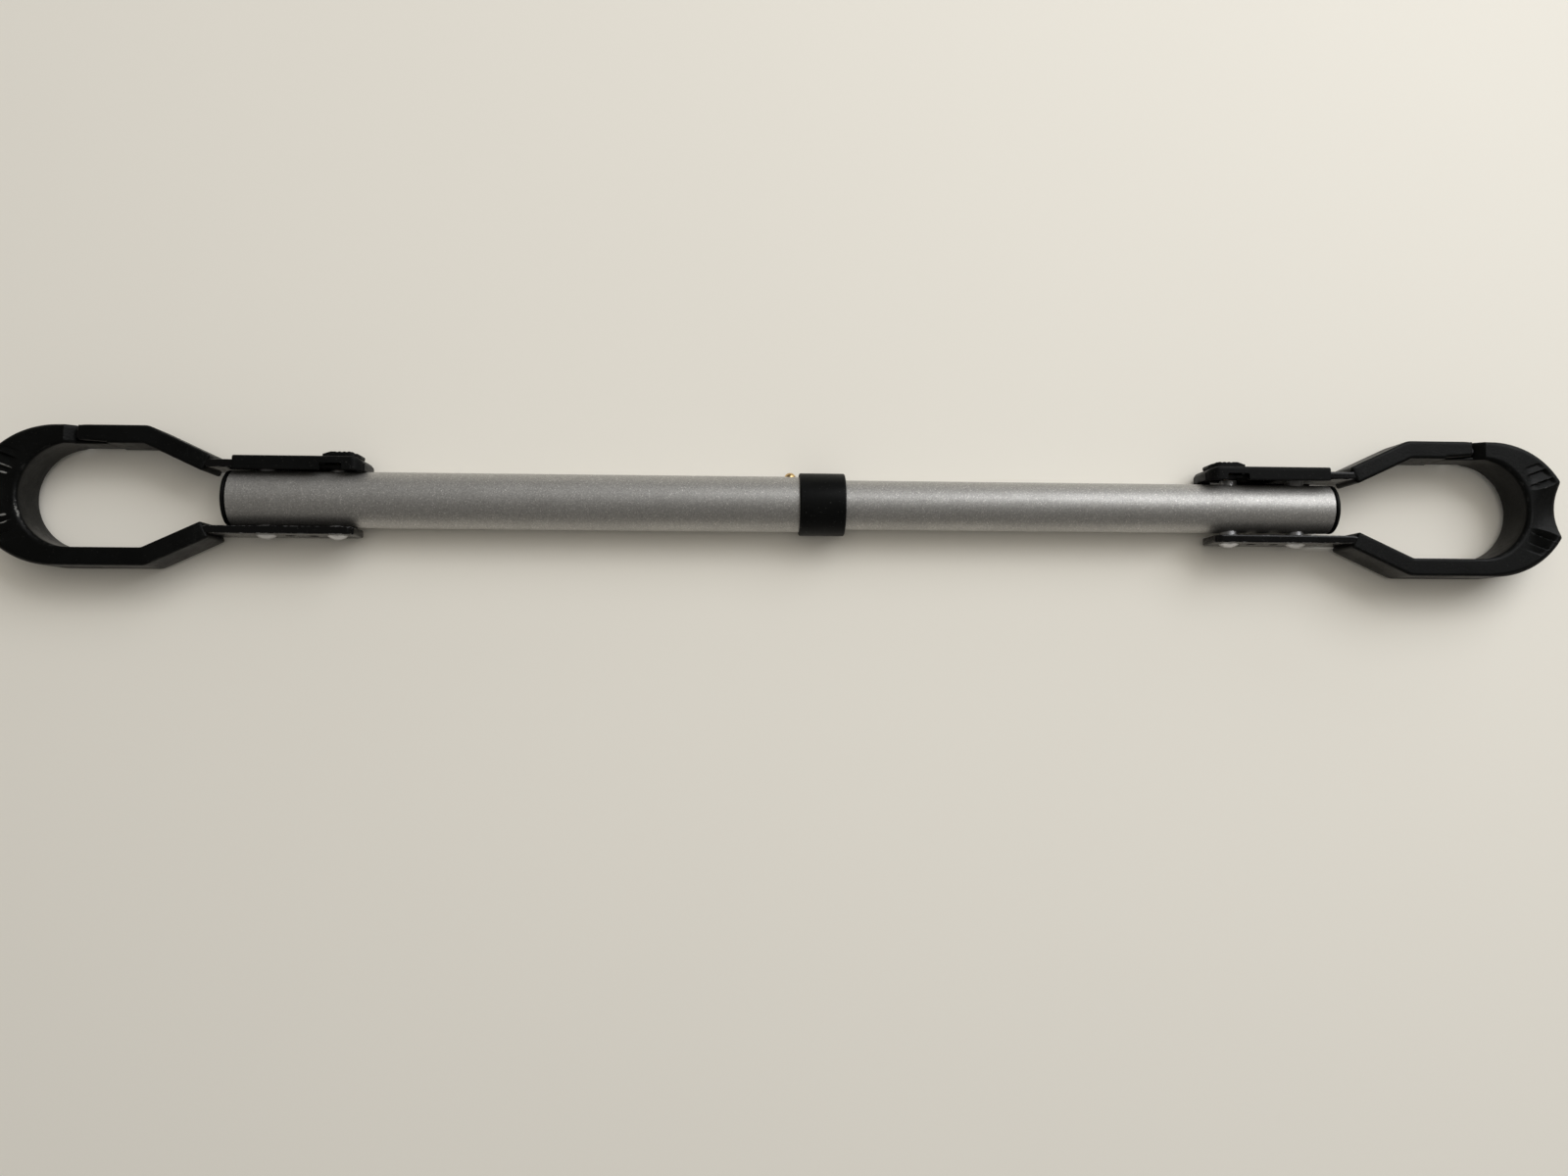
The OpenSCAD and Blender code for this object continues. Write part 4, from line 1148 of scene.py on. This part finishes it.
class BuildStraps(bpy.types.Operator):
    """Make the steel straps of the hooks and gates with their hinge knuckles"""
    bl_idname = "adapter_bar.build_straps"
    bl_label = "Steel straps"

    def execute(self, context):
        bar = settings()
        steel, loop = bar.steel, bar.loop
        middle = steel.middle_knuckle / 2
        inner, outer = middle + 0.0003, steel.core / 2 - 0.0001
        start, in_rubber = STRAP_END - steel.free_end, 0.08
        root = knuckle(steel, -middle, middle, PIN_U + 0.008)
        tabs = [knuckle(steel, low, high, PIN_U - 0.006)
                for low, high in ((inner, outer), (-outer, -inner))]
        drains = [cylinder_y(steel.rivet_pitch * k / 3, 0, steel.drain / 2,
                             -STRAP_IN - 0.006, -STRAP_IN + 0.002) for k in (1, 2)]
        for side in SIDES:
            rings, edge = strip(steel, loop, start, in_rubber, steel.corner, -1)
            obj = marked_object(side + "_hook_steel", side, rings, {"edge": edge})
            carve(obj, [solid(side, drain) for drain in drains], bevel=0.0003)
            finish_piece(obj, HOOK_BODY[side], "black_paint", side + "_hook_strap")
            obj = mesh_object(side + "_hook_knuckle", [solid(side, root)])
            finish_piece(obj, HOOK_BODY[side], "black_paint")
            rings, edge = strip(steel, loop, steel.gate_start, in_rubber, 0.001, 1)
            obj = marked_object(side + "_gate_steel", side, rings, {"edge": edge}, tabs)
            finish_piece(obj, side + "_gate", "black_paint", side + "_gate_strap")
        return {"FINISHED"}


class BuildHousings(bpy.types.Operator):
    """Make the plastic housings of both latches"""
    bl_idname = "adapter_bar.build_housings"
    bl_label = "Latch housings"

    def execute(self, context):
        bar = settings()
        for side in SIDES:
            rings, edge = housing_shell(bar.latch)
            obj = marked_object(side + "_housing", side, rings, {"edge": edge})
            carve(obj, housing_cutters(side, bar.latch, bar.steel), bevel=0.0002)
            finish_piece(obj, side + "_gate", "black_plastic", side + "_latch_housing")
        return {"FINISHED"}


class BuildSliders(bpy.types.Operator):
    """Make the thumb sliders of both latches and their lock plates with the keyhole"""
    bl_idname = "adapter_bar.build_sliders"
    bl_label = "Latch sliders"

    def execute(self, context):
        bar = settings()
        low = STRAP_IN + 0.0004
        below, above = low - 0.001, low + 0.003
        key_u = -0.0052
        stem = box_bar(0.0042, 0.0062, low + 0.001, ROOF_IN + 0.0026, 0.008, 0.0002)
        tang = box_bar(0.011, 0.013, low, ROOF_IN - 0.0004, 0.008, 0.0002)
        plate = box_bar(-0.0105, 0.013, low, low + 0.0016, 0.0206, 0.0003)
        keyhole = [cylinder_y(key_u, 0, 0.0039, below, above),
                   box_bar(key_u, 0.0022, below, above, 0.0048, 0.0002)]
        for side in SIDES:
            rings, edge = pad_shell(bar.latch)
            obj = marked_object(side + "_slider", side, rings, {"edge": edge}, [stem, tang])
            finish_piece(obj, side + "_latch", "black_plastic", side + "_latch_slider")
            obj = mesh_object(side + "_lock_plate", [solid(side, plate)])
            carve(obj, [solid(side, cut) for cut in keyhole], sharp=40)
            finish_piece(obj, side + "_latch", "black_plastic")
        return {"FINISHED"}


def collar_profile(tube):
    """The collar's turned outline (x, r): its bore over the outer tube, two rims rounded
    by an arc, and its lip round the inner tube."""
    low, high = box_of("collar")
    r = high[2]
    bore = box_of("outer_tube")[1][2] + SEAT_GAP
    mouth = box_of("outer_tube")[1][0] + SEAT_GAP
    lip = box_of("inner_tube")[1][1] + 0.0005
    e = tube.collar_edge
    near = fillet((low[0], bore), (low[0], r), (high[0], r), e, 9)
    far = fillet((low[0], r), (high[0], r), (high[0], lip), e, 9)
    return np.concatenate([[[low[0], bore]], near, far,
                           [[high[0], lip], [mouth, lip], [mouth, bore]]])


def cap_profile(tube, node):
    """An end cap's turned outline (x, r): a plug inside the tube, a straight rim, and a
    dome, x = x0 + h sin t, r = R cos t."""
    low, high = box_of(node)
    r = high[1]
    face = max(abs(low[0]), abs(high[0]))
    start = face - 0.0023
    back = start - 0.008
    plug = r - 0.00125
    axis = 0.0004
    chamfer = 0.0002
    rise = face - start - tube.cap_rim
    t = np.linspace(0, pi / 2, 12)
    dome = np.stack([start + tube.cap_rim + rise * np.sin(t), np.maximum(r * np.cos(t), axis)],
                    axis=1)
    return np.concatenate([
        [[back, axis], [back, plug - 0.0004], [back + 0.0004, plug], [start, plug],
         [start, r - chamfer], [start + chamfer, r]], dome])


class BuildCollar(bpy.types.Operator):
    """Turn the collar on the outer tube's mouth and the two end caps"""
    bl_idname = "adapter_bar.build_collar"
    bl_label = "Collar and caps"

    def execute(self, context):
        tube = settings().tube
        turned = lathe(collar_profile(tube), 128)
        obj = mesh_object("grip_collar", [shell(turned, ends_shut=False)], sharp=40)
        finish_piece(obj, "outer_bar", "black_plastic", "collar")
        for side, way in SIDES.items():
            node = side + "_end_cap"
            rings = lathe(cap_profile(tube, node), 96) * (way, 1, 1)
            obj = mesh_object(side + "_cap", [shell(rings)], sharp=40)
            finish_piece(obj, HOOK_BODY[side], "black_plastic", node)
        return {"FINISHED"}


class FinishMetal(bpy.types.Operator):
    """Paint the tubes and plate the rivets, studs, spacers, pins, screws and springs"""
    bl_idname = "adapter_bar.finish_metal"
    bl_label = "Tubes and fasteners"

    def execute(self, context):
        finishes = {
            "outer_tube": "silver_paint", "inner_tube": "silver_paint",
            "snap_button": "turned_brass", "snap_spring": "drawn_steel",
            "rivet": "zinc_plate", "latch_stud": "plated_stud", "spacers": "zinc_plate",
            "hinge_pin": "drawn_steel", "latch_spring": "drawn_steel",
            "housing_screws": "black_oxide",
        }
        found = set()
        for name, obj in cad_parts.items():
            plain = name.replace("left_", "").replace("right_", "")
            if plain in finishes:
                found.add(plain)
                for slot in obj.material_slots:
                    slot.material = finish_named(finishes[plain])
        missing = sorted(set(finishes) - found)
        if missing:
            raise RuntimeError("no solid for " + ", ".join(missing))
        return {"FINISHED"}


def lamp(name, place, aim, size, power, tint):
    """A soft square lamp that points at aim."""
    data = bpy.data.lights.new(name, "AREA")
    data.shape = "RECTANGLE"
    data.size, data.size_y = size
    data.energy = power
    data.color = tint
    obj = bpy.data.objects.new(name, data)
    bpy.context.scene.collection.objects.link(obj)
    way = np.array(aim) - np.array(place)
    obj.location = place
    obj.rotation_euler = (atan2(sqrt(way[0] ** 2 + way[1] ** 2), -way[2]), 0,
                          atan2(way[1], way[0]) - pi / 2)
    return obj


class SetStage(bpy.types.Operator):
    """Set the table, the lamps, the world and the camera"""
    bl_idname = "adapter_bar.set_stage"
    bl_label = "Stage"

    def execute(self, context):
        look = settings().stage
        scene = context.scene
        scene.view_settings.view_transform = "Standard"
        half = 4.0
        corners = [(half * x, half * y, FLOOR_Z) for x, y in ((-1, -1), (1, -1), (1, 1), (-1, 1))]
        mesh = bpy.data.meshes.new("table")
        mesh.from_pydata(corners, [], [(0, 1, 2, 3)])
        table = bpy.data.objects.new("table", mesh)
        scene.collection.objects.link(table)
        mesh.materials.append(table_top())
        lamp("window", (1.22, 1.36, 1.82), (0.05, 0.0, 0.0), (1.9, 1.6), look.key,
             (0.98, 0.99, 1.0))
        lamp("low_window", (1.9, 1.6, 0.55), (0.1, 0.0, 0.0), (2.2, 0.7), look.glint,
             (0.94, 0.98, 1.0))
        ceiling = lamp("ceiling", (0.12, 0.5, 1.75), (0.12, 0.1, 0.0), (1.8, 1.8), look.ceiling,
                       (1.0, 0.95, 0.86))
        ceiling.visible_glossy = False
        world = bpy.data.worlds.new("room")
        world.use_nodes = True
        tree = world.node_tree
        back = tree.nodes["Background"]
        back.inputs["Color"].default_value = (1.0, 0.96, 0.88, 1.0)
        back.inputs["Strength"].default_value = look.sky
        scene.world = world
        data = bpy.data.cameras.new("camera")
        data.lens = 30.315
        data.sensor_width = 36.0
        data.clip_end = 50.0
        camera = bpy.data.objects.new("camera", data)
        camera.location = (-0.03262, -0.08335, 0.67747)
        camera.rotation_euler = (radians(3.3768), radians(-2.5332), radians(0.2783))
        scene.collection.objects.link(camera)
        scene.camera = camera
        return {"FINISHED"}


class ADAPTER_PT_bar(bpy.types.Panel):
    """Lists the steps that build the bar"""
    bl_idname = "ADAPTER_PT_bar"
    bl_label = "Frame Adapter Bar"
    bl_space_type = "VIEW_3D"
    bl_region_type = "UI"
    bl_category = "Adapter Bar"

    def draw(self, context):
        bar = context.scene.adapter_bar
        for step in STEPS:
            self.layout.operator(step.bl_idname, text=step.bl_label)
        for part in (bar.loop, bar.steel, bar.latch, bar.tube, bar.finish, bar.stage):
            column = self.layout.column(heading=part.bl_rna.description)
            for key in part.__annotations__:
                column.prop(part, key)


STEPS = (SetStage, FinishMetal, BuildHooks, BuildGates, BuildStraps, BuildHousings,
         BuildSliders, BuildCollar)
CLASSES = (LoopSizes, SteelSizes, LatchSizes, TubeSizes, Finishes, StageLook, AdapterBar,
           *STEPS, ADAPTER_PT_bar)


def register():
    """Adds the classes and the settings."""
    for item in CLASSES:
        bpy.utils.register_class(item)
    bpy.types.Scene.adapter_bar = PointerProperty(type=AdapterBar)


def unregister():
    """Takes them away again."""
    del bpy.types.Scene.adapter_bar
    for item in reversed(CLASSES):
        bpy.utils.unregister_class(item)


def main():
    """Builds the whole bar."""
    register()
    bpy.ops.adapter_bar.set_stage()
    bpy.ops.adapter_bar.finish_metal()
    bpy.ops.adapter_bar.build_hooks()
    bpy.ops.adapter_bar.build_gates()
    bpy.ops.adapter_bar.build_straps()
    bpy.ops.adapter_bar.build_housings()
    bpy.ops.adapter_bar.build_sliders()
    bpy.ops.adapter_bar.build_collar()


if __name__ == "__main__":
    main()
